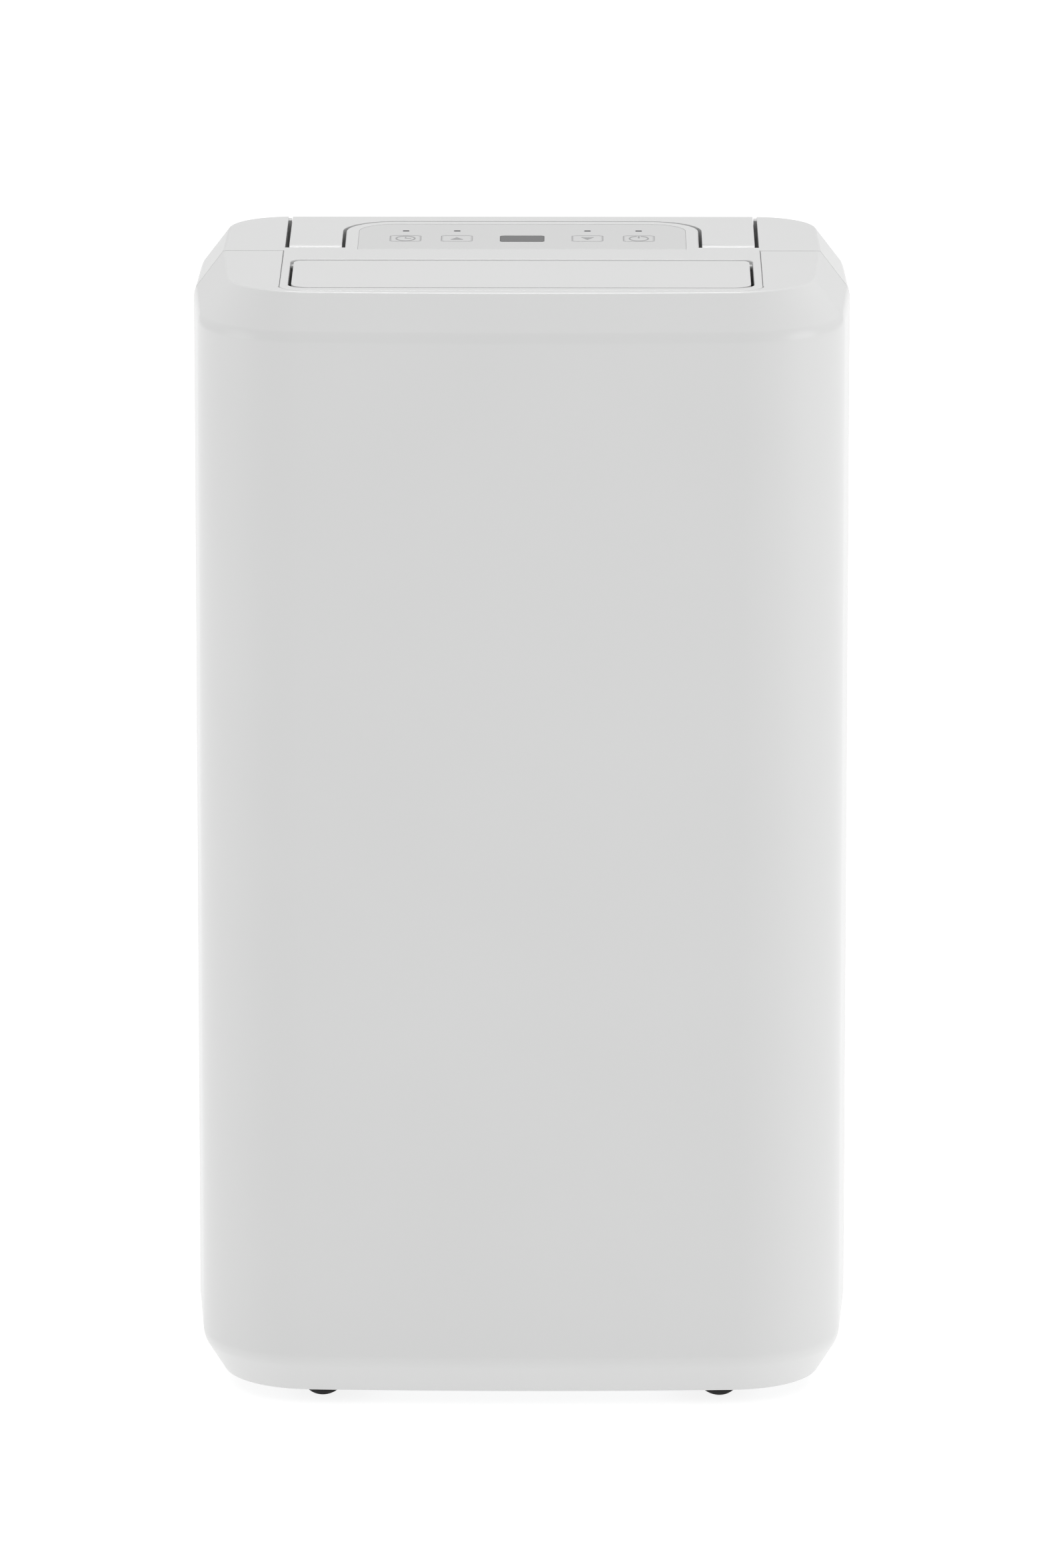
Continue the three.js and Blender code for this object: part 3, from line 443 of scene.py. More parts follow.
# camera, lights and floor
def addStage(look):
    scene = bpy.context.scene
    scene.view_settings.view_transform = "Standard"
    world = bpy.data.worlds.new("studio")
    scene.world = world
    world.use_nodes = True
    background = world.node_tree.nodes["Background"]
    background.inputs["Color"].default_value = (*look["skyColor"], 1)
    background.inputs["Strength"].default_value = look["sky"]
    floor = startPiece("studioFloor", bpy.ops.mesh.primitive_plane_add, size=look["floorSize"])
    paper, shader = newLook("paleFloor", roughness=0.9, specular=0.1)
    noise = addNode(paper, "ShaderNodeTexNoise", Scale=3, Detail=2)
    paper.node_tree.links.new(objectSpace(paper), noise.inputs["Vector"])
    tint(paper, shader, noise.outputs["Fac"], look["floorDark"], look["floorLight"])
    shader.inputs["Emission Color"].default_value = (1, 1, 1, 1)  # a lit table: shadows stay faint
    shader.inputs["Emission Strength"].default_value = look["floorGlow"]
    floor.data.materials.append(paper)
    for name, (place, softness, power) in look["lights"].items():
        deselectAll()
        bpy.ops.object.light_add(type="SUN", location=place)
        lamp = bpy.context.active_object
        lamp.name = name
        lamp.data.angle = math.radians(softness)
        lamp.data.energy = power
        lamp.rotation_euler = (-Vector(place)).to_track_quat("-Z", "Y").to_euler()


def addCamera(look):
    down = math.radians(look["down"])
    aside = math.radians(look["aside"])
    level = math.cos(down)
    ahead = Vector((math.sin(aside) * level, math.cos(aside) * level, -math.sin(down)))
    deselectAll()
    bpy.ops.object.camera_add(
        location=Vector(look["target"]) - ahead * look["distance"],
        rotation=(math.radians(90) - down, 0, -aside),
    )
    camera = bpy.context.active_object
    camera.name = "studioCamera"
    camera.data.lens = look["lens"]
    camera.data.sensor_width = 36
    camera.data.clip_end = 200
    bpy.context.scene.camera = camera


addCamera({
    "target": (0.00038, 0, 0.31517), "distance": 6.451, "lens": 275.5,
    "down": 13.38, "aside": -0.26,  # degrees
})
addStage({
    "skyColor": (1.0, 1.0, 1.0), "sky": 0.64, "floorSize": 14, "floorGlow": 0.85,
    "floorDark": (0.29, 0.29, 0.29), "floorLight": (0.31, 0.31, 0.31),
    "lights": {  # where it stands, how many degrees of sky it fills, and its power
        "leftLight": ((-2.9, -0.8, 0.42), 34, 0.48),
        "rightLight": ((2.9, -0.8, 0.42), 34, 0.85),
        "topLight": ((0, 0.15, 3.0), 20, 0.78),
        "rimLight": ((0, 1.5, 2.6), 20, 0.78),
    },
})
print("camera and studio placed")


# the case: one closed body seen from above as a bowed front, round corners and sides that flare to the seam
case = {
    "halfWidth": 175, "front": -124, "rear": 124, "seam": 10, "seamGap": 0.16, "wall": 3,
    "frontCorner": (112, -62, 59), "bow": 3.08, "flare": 3.18,
    "rearCorner": (124.5, 75, 49), "taper": 1.2,
    "shoulder": (16, 21), "skirt": (12, 19),  # how far the top and bottom bevels go in and up
    "topCrease": (0.9, 3), "shoulderCrease": (3.6, 5), "skirtCrease": (4, 4), "rim": (1.2, 3),  # width, steps
    "seamEdge": 0.9, "bowPieces": 24, "frontPieces": 20, "rearPieces": 18, "openEnd": 5,
}
caseMiddle = Vector((0, 0, 0.3))


def caseOutline(inset):
    frontX, frontY, frontRadius = case["frontCorner"]
    rearX, rearY, rearRadius = case["rearCorner"]
    frontRadius -= inset
    rearRadius -= inset
    bow, flare, taper = [math.radians(case[name]) for name in ("bow", "flare", "taper")]
    endX = frontX + frontRadius * math.sin(bow)
    endY = frontY - frontRadius * math.cos(bow)
    front = case["front"] + inset
    rise = endY - front
    bowRadius = (endX**2 + rise**2) / (2 * rise)
    bowTurn = 2 * math.degrees(math.asin(endX / bowRadius))
    cornerTurn = 90 - case["bow"] - case["flare"]
    side = case["halfWidth"] - inset
    return (-endX, endY), [
        (0, front + bowRadius, bowTurn, case["bowPieces"]),
        (frontX, frontY, cornerTurn, case["frontPieces"]),
        (side, case["seam"]),
        (rearX + rearRadius * math.cos(taper), rearY + rearRadius * math.sin(taper)),
        (rearX, rearY, 90 - case["taper"], case["rearPieces"]),
        (-rearX, case["rear"] - inset),
        (-rearX, rearY, 90 - case["taper"], case["rearPieces"]),
        (-side, case["seam"]),
        (-frontX - frontRadius * math.cos(flare), frontY - frontRadius * math.sin(flare)),
        (-frontX, frontY, cornerTurn, case["frontPieces"]),
    ]


def caseBody(name, inset):
    shoulderIn, shoulderUp = case["shoulder"]
    skirtIn, skirtUp = case["skirt"]
    low = caseBottom + skirtUp
    high = caseTop - inset - shoulderUp
    piece = drawSolid(name, "z", low, high, caseOutline(inset))
    pickCap(piece, (0, 0, 1))
    insetBy(shoulderIn, shoulderUp)
    pickCap(piece, (0, 0, -1))
    insetBy(skirtIn, skirtUp)
    if inset:
        extrudeBy(0, 0, -case["openEnd"])  # the hollow runs out through the open bottom
    else:
        creases = {"topCrease": caseTop, "shoulderCrease": high, "skirtCrease": low, "rim": caseBottom}
        for crease, level in creases.items():
            roundEdges(piece, edgesAt(alongZ, level), *case[crease])
    leaveEdit()
    return piece


outerCase = caseBody("outerCase", 0)
innerCase = caseBody("innerCase", case["wall"])
print("case bodies:", len(outerCase.data.polygons), "faces", [round(v, 4) for v in outerCase.dimensions])


def facesOut(edge):
    # true for an edge that has a face on the outside of the case
    for face in edge.link_faces:
        outward = (face.calc_center_median() - caseMiddle).normalized()
        if face.normal.dot(outward) > 0.3:
            return True
    return False


def onSeam(a, b, edge, level):
    # an outer edge of the face that a shell turns to the seam
    return bothAt(a, b, alongY, level) and facesOut(edge) and any(
        abs(face.normal.y) > 0.99 for face in edge.link_faces)


deck = {
    "halfWidth": 127.04, "front": -101.44, "rear": 18.7, "corner": 12.8, "thickness": 3, "edge": 0.7,
    "notchGap": 0.16, "notchDepth": 20, "notchEdge": 0.9,
    "hole": (122.5, -94.1, -15, 10, 6), "collarWall": 2.4, "collarDepth": 20,
    "island": (94.5, 4.7, 92.8, 27), "islandDepth": 19, "islandWall": 2.5, "shy": 0.03,
    "bed": (87.7, 15, 86.1, 20), "bedDepth": 1.1, "bedEdge": 0.6, "ramp": (5.3, 15.1, 0.24),
    "collarTop": 1.2, "skirtTop": 1.5, "plate": 4,
}
above, below = 10, 40  # how far a cutter for the top goes past it and under it
frontEdge = case["seam"] - case["seamGap"] / 2
rearEdge = case["seam"] + case["seamGap"] / 2


def makeFrontShell():
    piece = copyOf(outerCase, "frontShell")
    carve(piece, innerCase, keepTools=True)
    gap = deck["notchGap"]
    half, front = deck["halfWidth"] + gap, deck["front"] - gap
    notch = makeSolid("notch", "z", caseTop - deck["notchDepth"], caseTop + above, roundedBox(
        -half, half, front, case["seam"] + 60, deck["corner"] + gap, 5, 12))
    carve(piece, block("rearCut", (-beyond, frontEdge, -above), (beyond, beyond, caseTop + beyond)), notch)
    editPiece(piece)
    reach = half + 0.1
    roundEdges(piece, lambda a, b, edge: bothAt(a, b, alongZ, caseTop)
               and bothWithin(a, b, alongX, -reach, reach)
               and bothWithin(a, b, alongY, front - 0.4, beyond)
               and a.y < frontEdge - 0.1, deck["notchEdge"])
    roundEdges(piece, lambda a, b, edge: onSeam(a, b, edge, frontEdge), case["seamEdge"], 2)
    leaveEdit()
    return finishPiece(piece, looks["caseWhite"], "root", "case_white", "front_shell")


frontShell = makeFrontShell()
print("front shell:", len(frontShell.data.polygons), "faces")

fittings = {
    "tray": (126.5, 19.8, 2.5), "scoop": (62, 42, 96),
    "intake": (122, 265, 550, 9), "bucket": (127, 29, 227, 9),
    "drain": (-92, 246), "gland": (96, 246), "dish": (13, 5, 2, 8.5), "pinBore": (28.4, 9, 3.4, 130.5),
    "rib": (124.7, 100, 107),  # closes the slot beside the handle towards the back
    "screws": [(-108, 567), (108, 567), (-34, 246), (34, 246)], "screwHole": (4.6, 3), "screwWall": (1.6, 2),
    "trayEdge": 0.7, "rearEdges": 0.6, "through": 20,
}


def pinBore():
    y, down, radius, end = fittings["pinBore"]
    return rod("pinBore", "x", radius, -end, end, (y, caseTop - down), 24)


def makeRearShell():
    trayHalf, trayDepth, trayWall = fittings["tray"]
    scoopHalf, scoopDepth, scoopFront = fittings["scoop"]
    dishRadius, dishDepth, dishWall, dishBore = fittings["dish"]
    dishes = [fittings["drain"], fittings["gland"]]
    rear = case["rear"]
    # the hollow leaves room for the walls of the tray, the scoop, the dishes and the screw wells
    hollow = copyOf(innerCase, "rearHollow")
    trayLow, scoopLow = caseTop - trayDepth, caseTop - scoopDepth
    wells = [
        block("trayBlank", (-trayHalf - trayWall, 0, trayLow - trayWall),
              (trayHalf + trayWall, rear, caseTop + 5)),
        block("scoopBlank", (-scoopHalf - trayWall, scoopFront - trayWall, scoopLow - trayWall),
              (scoopHalf + trayWall, rear, caseTop + 5)),
    ]
    for place in dishes:
        wells.append(rod("dishBlank", "y", dishRadius + dishWall, rear - dishDepth - dishWall, rear, place))
    wellRadius, wellDepth = fittings["screwHole"]
    sideWall, endWall = fittings["screwWall"]
    wellEnd = rear - wellDepth - endWall
    for place in fittings["screws"]:
        wells.append(rod("screwBlank", "y", wellRadius + sideWall, wellEnd, rear, place, 24))
    carve(hollow, *wells)
    piece = copyOf(outerCase, "rearShell")
    through = fittings["through"]
    holes = []
    for name in ("intake", "bucket"):
        half, low, high, corner = fittings[name]
        outline = roundedBox(-half, half, low, high, corner)
        holes.append(makeSolid(name + "Hole", "y", rear - through, rear + through, outline))
    holes += [rod("dishHollow", "y", dishRadius, rear - dishDepth, rear + 5, place) for place in dishes]
    holes += [rod("dishBore", "y", dishBore, rear - through, rear, place, 24) for place in dishes]
    for place in fittings["screws"]:
        holes.append(rod("screwHollow", "y", wellRadius, rear - wellDepth, rear + 5, place, 24))
    holes.append(pinBore())
    carve(piece, hollow, block("frontCut", (-beyond, -beyond, -above), (beyond, rearEdge, caseTop + beyond)),
          block("trayHollow", (-trayHalf, -50, trayLow), (trayHalf, beyond, caseTop + through)),
          block("scoopHollow", (-scoopHalf, scoopFront, scoopLow), (scoopHalf, beyond, caseTop)), *holes)
    ribReach, ribFront, ribRear = fittings["rib"]
    ribs = []
    for side in (-1, 1):
        inner, outer = sorted((side * ribReach, side * (trayHalf + 1)))
        ribs.append(block("slotRib", (inner, ribFront, trayLow - 1), (outer, ribRear, caseTop - 0.8)))
    carve(piece, *ribs, operation="UNION")
    editPiece(piece)
    roundEdges(piece, lambda a, b, edge: at(abs(a.x), trayHalf) and at(abs(b.x), trayHalf)
               and a.y > rearEdge + 0.1 and a.z > trayLow + 0.1 and b.z > trayLow - 0.01
               and facesOut(edge) and (a - b).length > 2, fittings["trayEdge"])
    roundEdges(piece, lambda a, b, edge: bothAt(a, b, alongY, rear) and edge.is_manifold and bent(edge, 0.8),
               fittings["rearEdges"], 2)
    roundEdges(piece, lambda a, b, edge: onSeam(a, b, edge, rearEdge), case["seamEdge"], 2)
    leaveEdit()
    return finishPiece(piece, looks["caseWhite"], "root", "case_white", "rear_shell")


rearShell = makeRearShell()
print("rear shell:", len(rearShell.data.polygons), "faces")

keys = {
    "timer": -62.5, "up": -35, "down": 35, "power": 62.5,
    "y": 45, "size": (16.6, 18), "corner": 2.5, "gap": 0.12, "edge": 0.25,
    "lightY": 66.7, "light": (3.2, 2.4), "display": (44.5, 23.5, 18, 2),
}
keyNames = ("timer", "up", "down", "power")


def keyPlan(x, margin):
    return centredBox(x, keys["y"], *keys["size"], margin, keys["corner"])


def displayPlan(margin):
    y, width, depth, corner = keys["display"]
    return centredBox(0, y, width, depth, margin, corner)


def panelHoles(low, high):
    gap = keys["gap"]
    halfWidth, halfDepth = [size / 2 + gap for size in keys["light"]]
    y = keys["lightY"]
    holes = []
    for name in keyNames:
        x = keys[name]
        holes.append(makeSolid("keyHole", "z", low, high, keyPlan(x, gap)))
        holes.append(block("lightHole", (x - halfWidth, y - halfDepth, low),
                           (x + halfWidth, y + halfDepth, high)))
    holes.append(makeSolid("displayHole", "z", low, high, displayPlan(gap)))
    return holes


def makeDeck():
    half, front, rear, corner = deck["halfWidth"], deck["front"], deck["rear"], deck["corner"]
    islandHalf, islandFront, islandRear, islandCorner = deck["island"]
    plan = (corner - half, front), [
        (half - corner, front),
        (half - corner, front + corner, 90, 12),
        (half, rear),
        (islandHalf, rear),
        (islandHalf, islandRear - islandCorner),
        (islandHalf - islandCorner, islandRear - islandCorner, 90, 20),
        (islandCorner - islandHalf, islandRear),
        (islandCorner - islandHalf, islandRear - islandCorner, 90, 20),
        (-islandHalf, rear),
        (-half, rear),
        (-half, front + corner),
        (corner - half, front + corner, 90, 12),
    ]
    piece = drawSolid("topDeck", "z", caseTop - deck["thickness"], caseTop, plan)
    roundEdges(piece, edgesAt(alongZ, caseTop), deck["edge"], 3)
    leaveEdit()
    holeHalf, holeFront, holeRear, holeNear, holeFar = deck["hole"]
    lip, shy = deck["collarWall"], deck["shy"]
    skirt = makeSolid("islandSkirt", "z", caseTop - deck["islandDepth"], caseTop - deck["skirtTop"],
                      archedBox(islandHalf - shy, islandFront, islandRear - shy, islandCorner, 20))
    collar = makeSolid("collar", "z", caseTop - deck["collarDepth"], caseTop - deck["collarTop"], roundedBox(
        -holeHalf - lip, holeHalf + lip, holeFront - lip, holeRear + lip, holeNear + lip, holeFar + lip))
    carve(piece, skirt, collar, operation="UNION")
    opening = makeSolid("opening", "z", caseTop - below - above, caseTop + above, roundedBox(
        -holeHalf, holeHalf, holeFront, holeRear, holeNear, holeFar))
    wall = deck["islandWall"]
    under = makeSolid("islandInside", "z", caseTop - below, caseTop - deck["plate"], archedBox(
        islandHalf - wall, islandFront + wall, islandRear - wall, islandCorner - wall))
    bedHalf, bedFront, bedRear, bedCorner = deck["bed"]
    bed = makeSolid("bed", "z", caseTop - deck["bedDepth"], caseTop + above,
                    archedBox(bedHalf, bedFront, bedRear, bedCorner))
    rampFront, rampRear, rampDrop = deck["ramp"]
    ramp = makeSolid("ramp", "x", -bedHalf, bedHalf, ((rampFront, caseTop), [
        (rampRear, caseTop - rampDrop), (rampRear, caseTop + 5), (rampFront, caseTop + 5)]))
    carve(piece, opening, under, bed, ramp, pinBore(), *panelHoles(caseTop - below, caseTop + above))
    editPiece(piece)
    holeReach, bedReach = holeHalf + 0.1, bedHalf + 0.05
    roundEdges(piece, lambda a, b, edge: bothAt(a, b, alongZ, caseTop)
               and bothWithin(a, b, alongX, -holeReach, holeReach)
               and bothWithin(a, b, alongY, holeFront - 0.1, holeRear + 0.1), deck["edge"])
    roundEdges(piece, lambda a, b, edge: bothAt(a, b, alongZ, caseTop)
               and bothWithin(a, b, alongX, -bedReach, bedReach)
               and bothWithin(a, b, alongY, rampFront + 0.1, bedRear + 0.05)
               and bent(edge), deck["bedEdge"], 2)
    leaveEdit()
    return finishPiece(piece, looks["caseWhite"], "root", "case_white", "top_deck")


topDeck = makeDeck()
print("top deck:", len(topDeck.data.polygons), "faces")

flap = {
    "halfWidth": 120.8, "front": -93.3, "rear": -15.8, "corner": 9.5, "thickness": 3, "barrel": 3.5,
    "ramp": 6, "pinRadius": 1.5, "pinEnd": 123.9, "edge": 0.8,
}


def makeFlap():
    hingeY, hingeZ = flap["rear"] - flap["barrel"], caseTop - flap["barrel"]
    low = caseTop - flap["thickness"]
    half = flap["halfWidth"]
    piece = makeSolid("outletFlap", "x", -half, half, ((flap["front"], low), [
        (hingeY - flap["ramp"], low),
        (hingeY, hingeZ - flap["barrel"]),
        (hingeY, hingeZ, 180, 14),
        (flap["front"], caseTop),
    ]))
    plan = makeSolid("flapPlan", "z", caseTop - below / 2, caseTop + below / 2, roundedBox(
        -half, half, flap["front"], flap["rear"] + 0.05, flap["corner"], pieces=12))
    carve(piece, plan, operation="INTERSECT")
    editPiece(piece)
    roundEdges(piece, lambda a, b, edge: bothAt(a, b, alongZ, caseTop) and not (
        bothAt(a, b, alongY, hingeY, 0.2)) and bent(edge), flap["edge"], 3)
    leaveEdit()
    end = flap["pinEnd"]
    carve(piece, rod("flapPin", "x", flap["pinRadius"], -end, end, (hingeY, hingeZ), 24), operation="UNION")
    return finishPiece(piece, looks["caseWhite"], "flap", "case_white", "outlet_flap")


outletFlap = makeFlap()

handle = {
    "halfWidth": 124.3, "arm": 28, "thickness": 18, "front": 19.4, "windowRear": 94.2, "windowCorner": 28.4,
    "pinBore": 3.4, "innerEdge": 1.6, "outerEdge": 0.8,
}


def makeHandle():
    half, thick = handle["halfWidth"], handle["thickness"]
    inner = half - handle["arm"]
    pivotY, pivotZ = handle["front"] + thick / 2, caseTop - thick / 2
    pastRear = case["rear"] + fittings["through"]
    piece = makeSolid("carryHandle", "x", -half, half, ((pivotY, caseTop), [
        (pivotY, pivotZ, 180, 16), (pastRear, caseTop - thick), (pastRear, caseTop)]))
    carve(piece, outerCase, operation="INTERSECT", keepTools=True)
    window = makeSolid("handleWindow", "z", caseTop - 60, caseTop + above, archedBox(
        inner, -50, handle["windowRear"], handle["windowCorner"], 20))
    carve(piece, window, rod("handleBore", "x", handle["pinBore"], -beyond, beyond, (pivotY, pivotZ), 24))
    editPiece(piece)
    reach = inner + 0.1
    roundEdges(piece, lambda a, b, edge: bothAt(a, b, alongZ, caseTop)
               and bothWithin(a, b, alongX, -reach, reach)
               and bothWithin(a, b, alongY, -beyond, handle["windowRear"] + 0.1)
               and bent(edge), handle["innerEdge"], 4)
    roundEdges(piece, lambda a, b, edge: at(abs(a.x), half) and at(abs(b.x), half)
               and bothWithin(a, b, alongZ, pivotZ, caseTop + above) and bent(edge), handle["outerEdge"])
    leaveEdit()
    return finishPiece(piece, looks["caseWhite"], "handle", "case_white", "carry_handle")


carryHandle = makeHandle()
print("flap and handle:", len(outletFlap.data.polygons), len(carryHandle.data.polygons), "faces")

panel = {
    "plan": (87.66, 15.04, 86.06, 20), "sink": 0.2, "thickness": 0.6, "edge": 0.15,
    "keyFlange": (1.2, 5.8, 4.3), "keyStem": (2.5, 2, 1), "lensDepth": 3.6, "lensEdge": 0.5,
}
panelTop = caseTop - panel["sink"]


def makeOverlay():
    outline = archedBox(*panel["plan"])
    piece = drawSolid("keypadOverlay", "z", panelTop - panel["thickness"], panelTop, outline)
    roundEdges(piece, edgesAt(alongZ, panelTop), panel["edge"], 2)
    leaveEdit()
    carve(piece, *panelHoles(caseTop - below / 2, caseTop + above))
    return finishPiece(piece, looks["panelFilm"], "root", "panel_grey", "keypad_overlay")


def makeKey(name):
    x = keys[name]
    margin, flangeLow, flangeHigh = panel["keyFlange"]
    piece = drawSolid("key" + name.title(), "z", caseTop - flangeLow, panelTop, keyPlan(x, 0))
    roundEdges(piece, edgesAt(alongZ, panelTop), keys["edge"], 3)
    leaveEdit()
    flange = makeSolid("keyFlange", "z", caseTop - flangeLow - 0.01, caseTop - flangeHigh, keyPlan(x, margin))
    radius, down, up = panel["keyStem"]
    root = caseTop - flangeLow
    stem = rod("keyStem", "z", radius, root - down, root + up, (x, keys["y"]), 24)
    carve(piece, flange, stem, operation="UNION")
    return finishPiece(piece, looks["panelFilm"], name + "_button", "panel_grey", "key_" + name)


def makeDisplay():
    piece = drawSolid("displayLens", "z", caseTop - panel["lensDepth"], panelTop, displayPlan(0))
    roundEdges(piece, edgesAt(alongZ, panelTop), panel["lensEdge"], 3)
    leaveEdit()
    return finishPiece(piece, looks["smokedLens"], "root", "display_lens", "display_window")


makeOverlay()
for name in keyNames:
    makeKey(name)
makeDisplay()

# thin printed signs on the keys, each one solid raised a tenth of a millimetre
signs = {
    "height": 0.1, "ring": 10.8, "ringStretch": 1.3, "line": 0.8, "triangle": (6.8, 6.4),
    "hand": (0.7, 3.8), "bar": (0.9, 5.2, 1.2), "frame": (0.3, 0.5, 1.0),
}


def signRing(name, x, y):
    radius = signs["ring"] / 2
    middle = Vector((x, y, panelTop)) * mm
    piece = startPiece(name, bpy.ops.mesh.primitive_circle_add, vertices=64, radius=radius * mm,
                       fill_type="NGON", location=middle)
    editPiece(piece)
    selectAll()
    insetBy(signs["line"])
    bpy.ops.mesh.delete(type="FACE")
    selectAll()
    bpy.ops.transform.resize(value=(1, signs["ringStretch"], 1), center_override=middle)
    extrudeBy(0, 0, signs["height"])
    leaveEdit()
    return piece


def signShape(name, *corners):
    return makeSolid(name, "z", panelTop, panelTop + signs["height"], (corners[0], corners[1:]))


def signBar(name, x0, x1, y0, y1):
    return signShape(name, (x0, y0), (x1, y0), (x1, y1), (x0, y1))


def makeSigns():
    y = keys["y"]
    thin, reach = signs["hand"]
    x = keys["timer"]
    timer = joinPieces(
        signRing("signTimer", x, y),
        signBar("handUp", x - thin / 2, x + thin / 2, y, y + reach),
        signBar("handAside", x + thin / 2, x + reach * 0.8, y, y + thin),
    )
    x = keys["power"]
    thick, tall, lift = signs["bar"]
    power = signRing("signPower", x, y)
    halfGap = thick * 1.25
    carve(power, block("ringGap", (x - halfGap, y, panelTop - 1), (x + halfGap, y + 20, panelTop + 1)))
    power = joinPieces(power, signBar("bar", x - thick / 2, x + thick / 2, y + lift, y + lift + tall))
    halfWide, halfHigh = [size / 2 for size in signs["triangle"]]
    x, low, high = keys["up"], y - halfHigh, y + halfHigh
    up = signShape("signUp", (x - halfWide, low), (x + halfWide, low), (x, high))
    x = keys["down"]
    down = signShape("signDown", (x - halfWide, high), (x, low), (x + halfWide, high))
    edge, side, end = signs["frame"]
    width, depth = keys["size"]
    halfWidth, halfDepth = width / 2 - edge - side, depth / 2 - edge - end
    for sign, body in ((timer, "timer"), (up, "up"), (down, "down"), (power, "power")):
        x = keys[body]
        border = makeSolid("frame" + body.title(), "z", panelTop, panelTop + signs["height"],
                           keyPlan(x, -edge))
        inside = makeSolid("borderInside", "z", panelTop - 1, panelTop + 1, roundedBox(
            x - halfWidth, x + halfWidth, y - halfDepth, y + halfDepth, keys["corner"] - edge - side))
        carve(border, inside)
        finishPiece(border, looks["printedPale"], body + "_button", "display_lens")
        finishPiece(sign, looks["printedGrey"], body + "_button", "display_lens", welded=False)


makeSigns()
print("keypad made")

casters = {
    "places": {"front_left": (-101, -84), "front_right": (101, -84),
               "rear_left": (-101, 84), "rear_right": (101, 84)},
    "yaw": 18, "trail": 6, "radius": 13, "width": 11, "bore": 2.4, "axle": 2, "legOut": 8.3,
    "tyre": [(7.6, 4.2), (9.2, 5.5), (12.2, 5.5)], "hub": [(2.4, 5.3), (4.6, 5.3), (5.2, 3.6), (7.6, 3.6)],
    "crown": [(12.8, 5.2), (13, 4.6)], "spoke": (1.1, 6.2, 45),
    "plate": (14, 27.2, 30, 2.4), "plateEdge": 0.5, "stem": (4, 29, 40), "bridge": (6, 27.3, 29.9),
    "legWall": 2.4, "legFoot": (6.5, 5.6, 28.5), "legEdge": 0.7, "axleInset": 0.2, "axleEdge": 0.5,
}


def turnAbout(name, centre, profile, plane="y", steps=64):
    # a closed outline of distance and height, spun once round the plane's axis through the centre
    axis = planes[plane][1]
    along = Vector([abs(part) for part in axis])
    points = [(Vector(centre) + Vector((1, 0, 0)) * far + along * up) * mm for far, up in profile]
    piece = startPiece(name, bpy.ops.mesh.primitive_plane_add, size=mm, location=points[0])
    editPiece(piece)
    bpy.ops.mesh.select_mode(type="VERT")
    selectAll()
    bpy.ops.mesh.merge(type="CENTER")
    closed = profile[0][0] > 0
    for here, there in zip(points, points[1:] + points[:1] * closed):
        bpy.ops.mesh.extrude_region_move(TRANSFORM_OT_translate={"value": there - here})
    selectAll()
    bpy.ops.mesh.remove_doubles(threshold=0.005 * mm)
    selectAll()
    bpy.ops.mesh.spin(steps=steps, angle=math.radians(360), center=Vector(centre) * mm, axis=axis)
    selectAll()
    bpy.ops.mesh.remove_doubles(threshold=0.005 * mm)
    leaveEdit()
    return piece


def makeWheel():
    trail, radius, half = casters["trail"], casters["radius"], casters["width"] / 2
    edge = casters["hub"] + casters["tyre"] + casters["crown"]
    profile = edge + [(far, -along) for far, along in reversed(edge)]
    wheel = turnAbout("casterWheel", (trail, 0, radius), profile)
    spokeRadius, spokeReach, spokeTurn = casters["spoke"]
    spokes = []
    for turn in range(0, 360, spokeTurn):
        angle = math.radians(turn)
        centre = trail + spokeReach * math.cos(angle), radius + spokeReach * math.sin(angle)
        spokes.append(rod("spokeHole", "y", spokeRadius, -half - 1, half + 1, centre, 16))
    return carve(wheel, *spokes)


def makeFork():
    trail, radius, legOut = casters["trail"], casters["radius"], casters["legOut"]
    plateRadius, plateLow, plateHigh, plateX = casters["plate"]
    plate = drawSolid("casterFork", "z", plateLow, plateHigh, ((plateRadius, 0), [(plateX, 0, 360, 48)]))
    roundEdges(plate, lambda a, b, edge: bothAt(a, b, alongZ, plateLow, 0.1)
               or bothWithin(a, b, alongZ, plateLow + 0.1, beyond), casters["plateEdge"], 2)
    leaveEdit()
    footRear, footFront, footTop = casters["legFoot"]
    legs = []
    for side in (-1, 1):
        inner, outer = sorted((side * (legOut - casters["legWall"]), side * legOut))
        leg = drawSolid("forkLeg", "y", inner, outer, ((trail - footFront, footTop), [
            (trail - footRear, radius), (trail, radius, 180, 24), (trail + footFront, footTop)]))
        roundEdges(leg, edgesAt(alongY, side * legOut), casters["legEdge"])
        leaveEdit()
        legs.append(leg)
    stemRadius, stemLow, stemHigh = casters["stem"]
    stem = rod("forkStem", "z", stemRadius, stemLow, stemHigh, (0, 0), 32)
    bridgeReach, bridgeLow, bridgeHigh = casters["bridge"]
    bridge = block("forkBridge", (trail - bridgeReach, -legOut, bridgeLow),
                   (trail + bridgeReach, legOut, bridgeHigh))
    carve(plate, bridge, stem, *legs, operation="UNION")
    return carve(plate, rod("axleBore", "y", casters["bore"], -50, 50, (trail, radius), 32))


def makeAxle():
    trail, radius, end = casters["trail"], casters["radius"], casters["legOut"] - casters["axleInset"]
    outline = (trail + casters["axle"], radius), [(trail, radius, 360, 32)]
    axle = drawSolid("casterAxle", "y", -end, end, outline)
    roundEdges(axle, lambda a, b, edge: at(abs(a.y), end) and at(abs(b.y), end), casters["axleEdge"], 2)
    leaveEdit()
    return axle


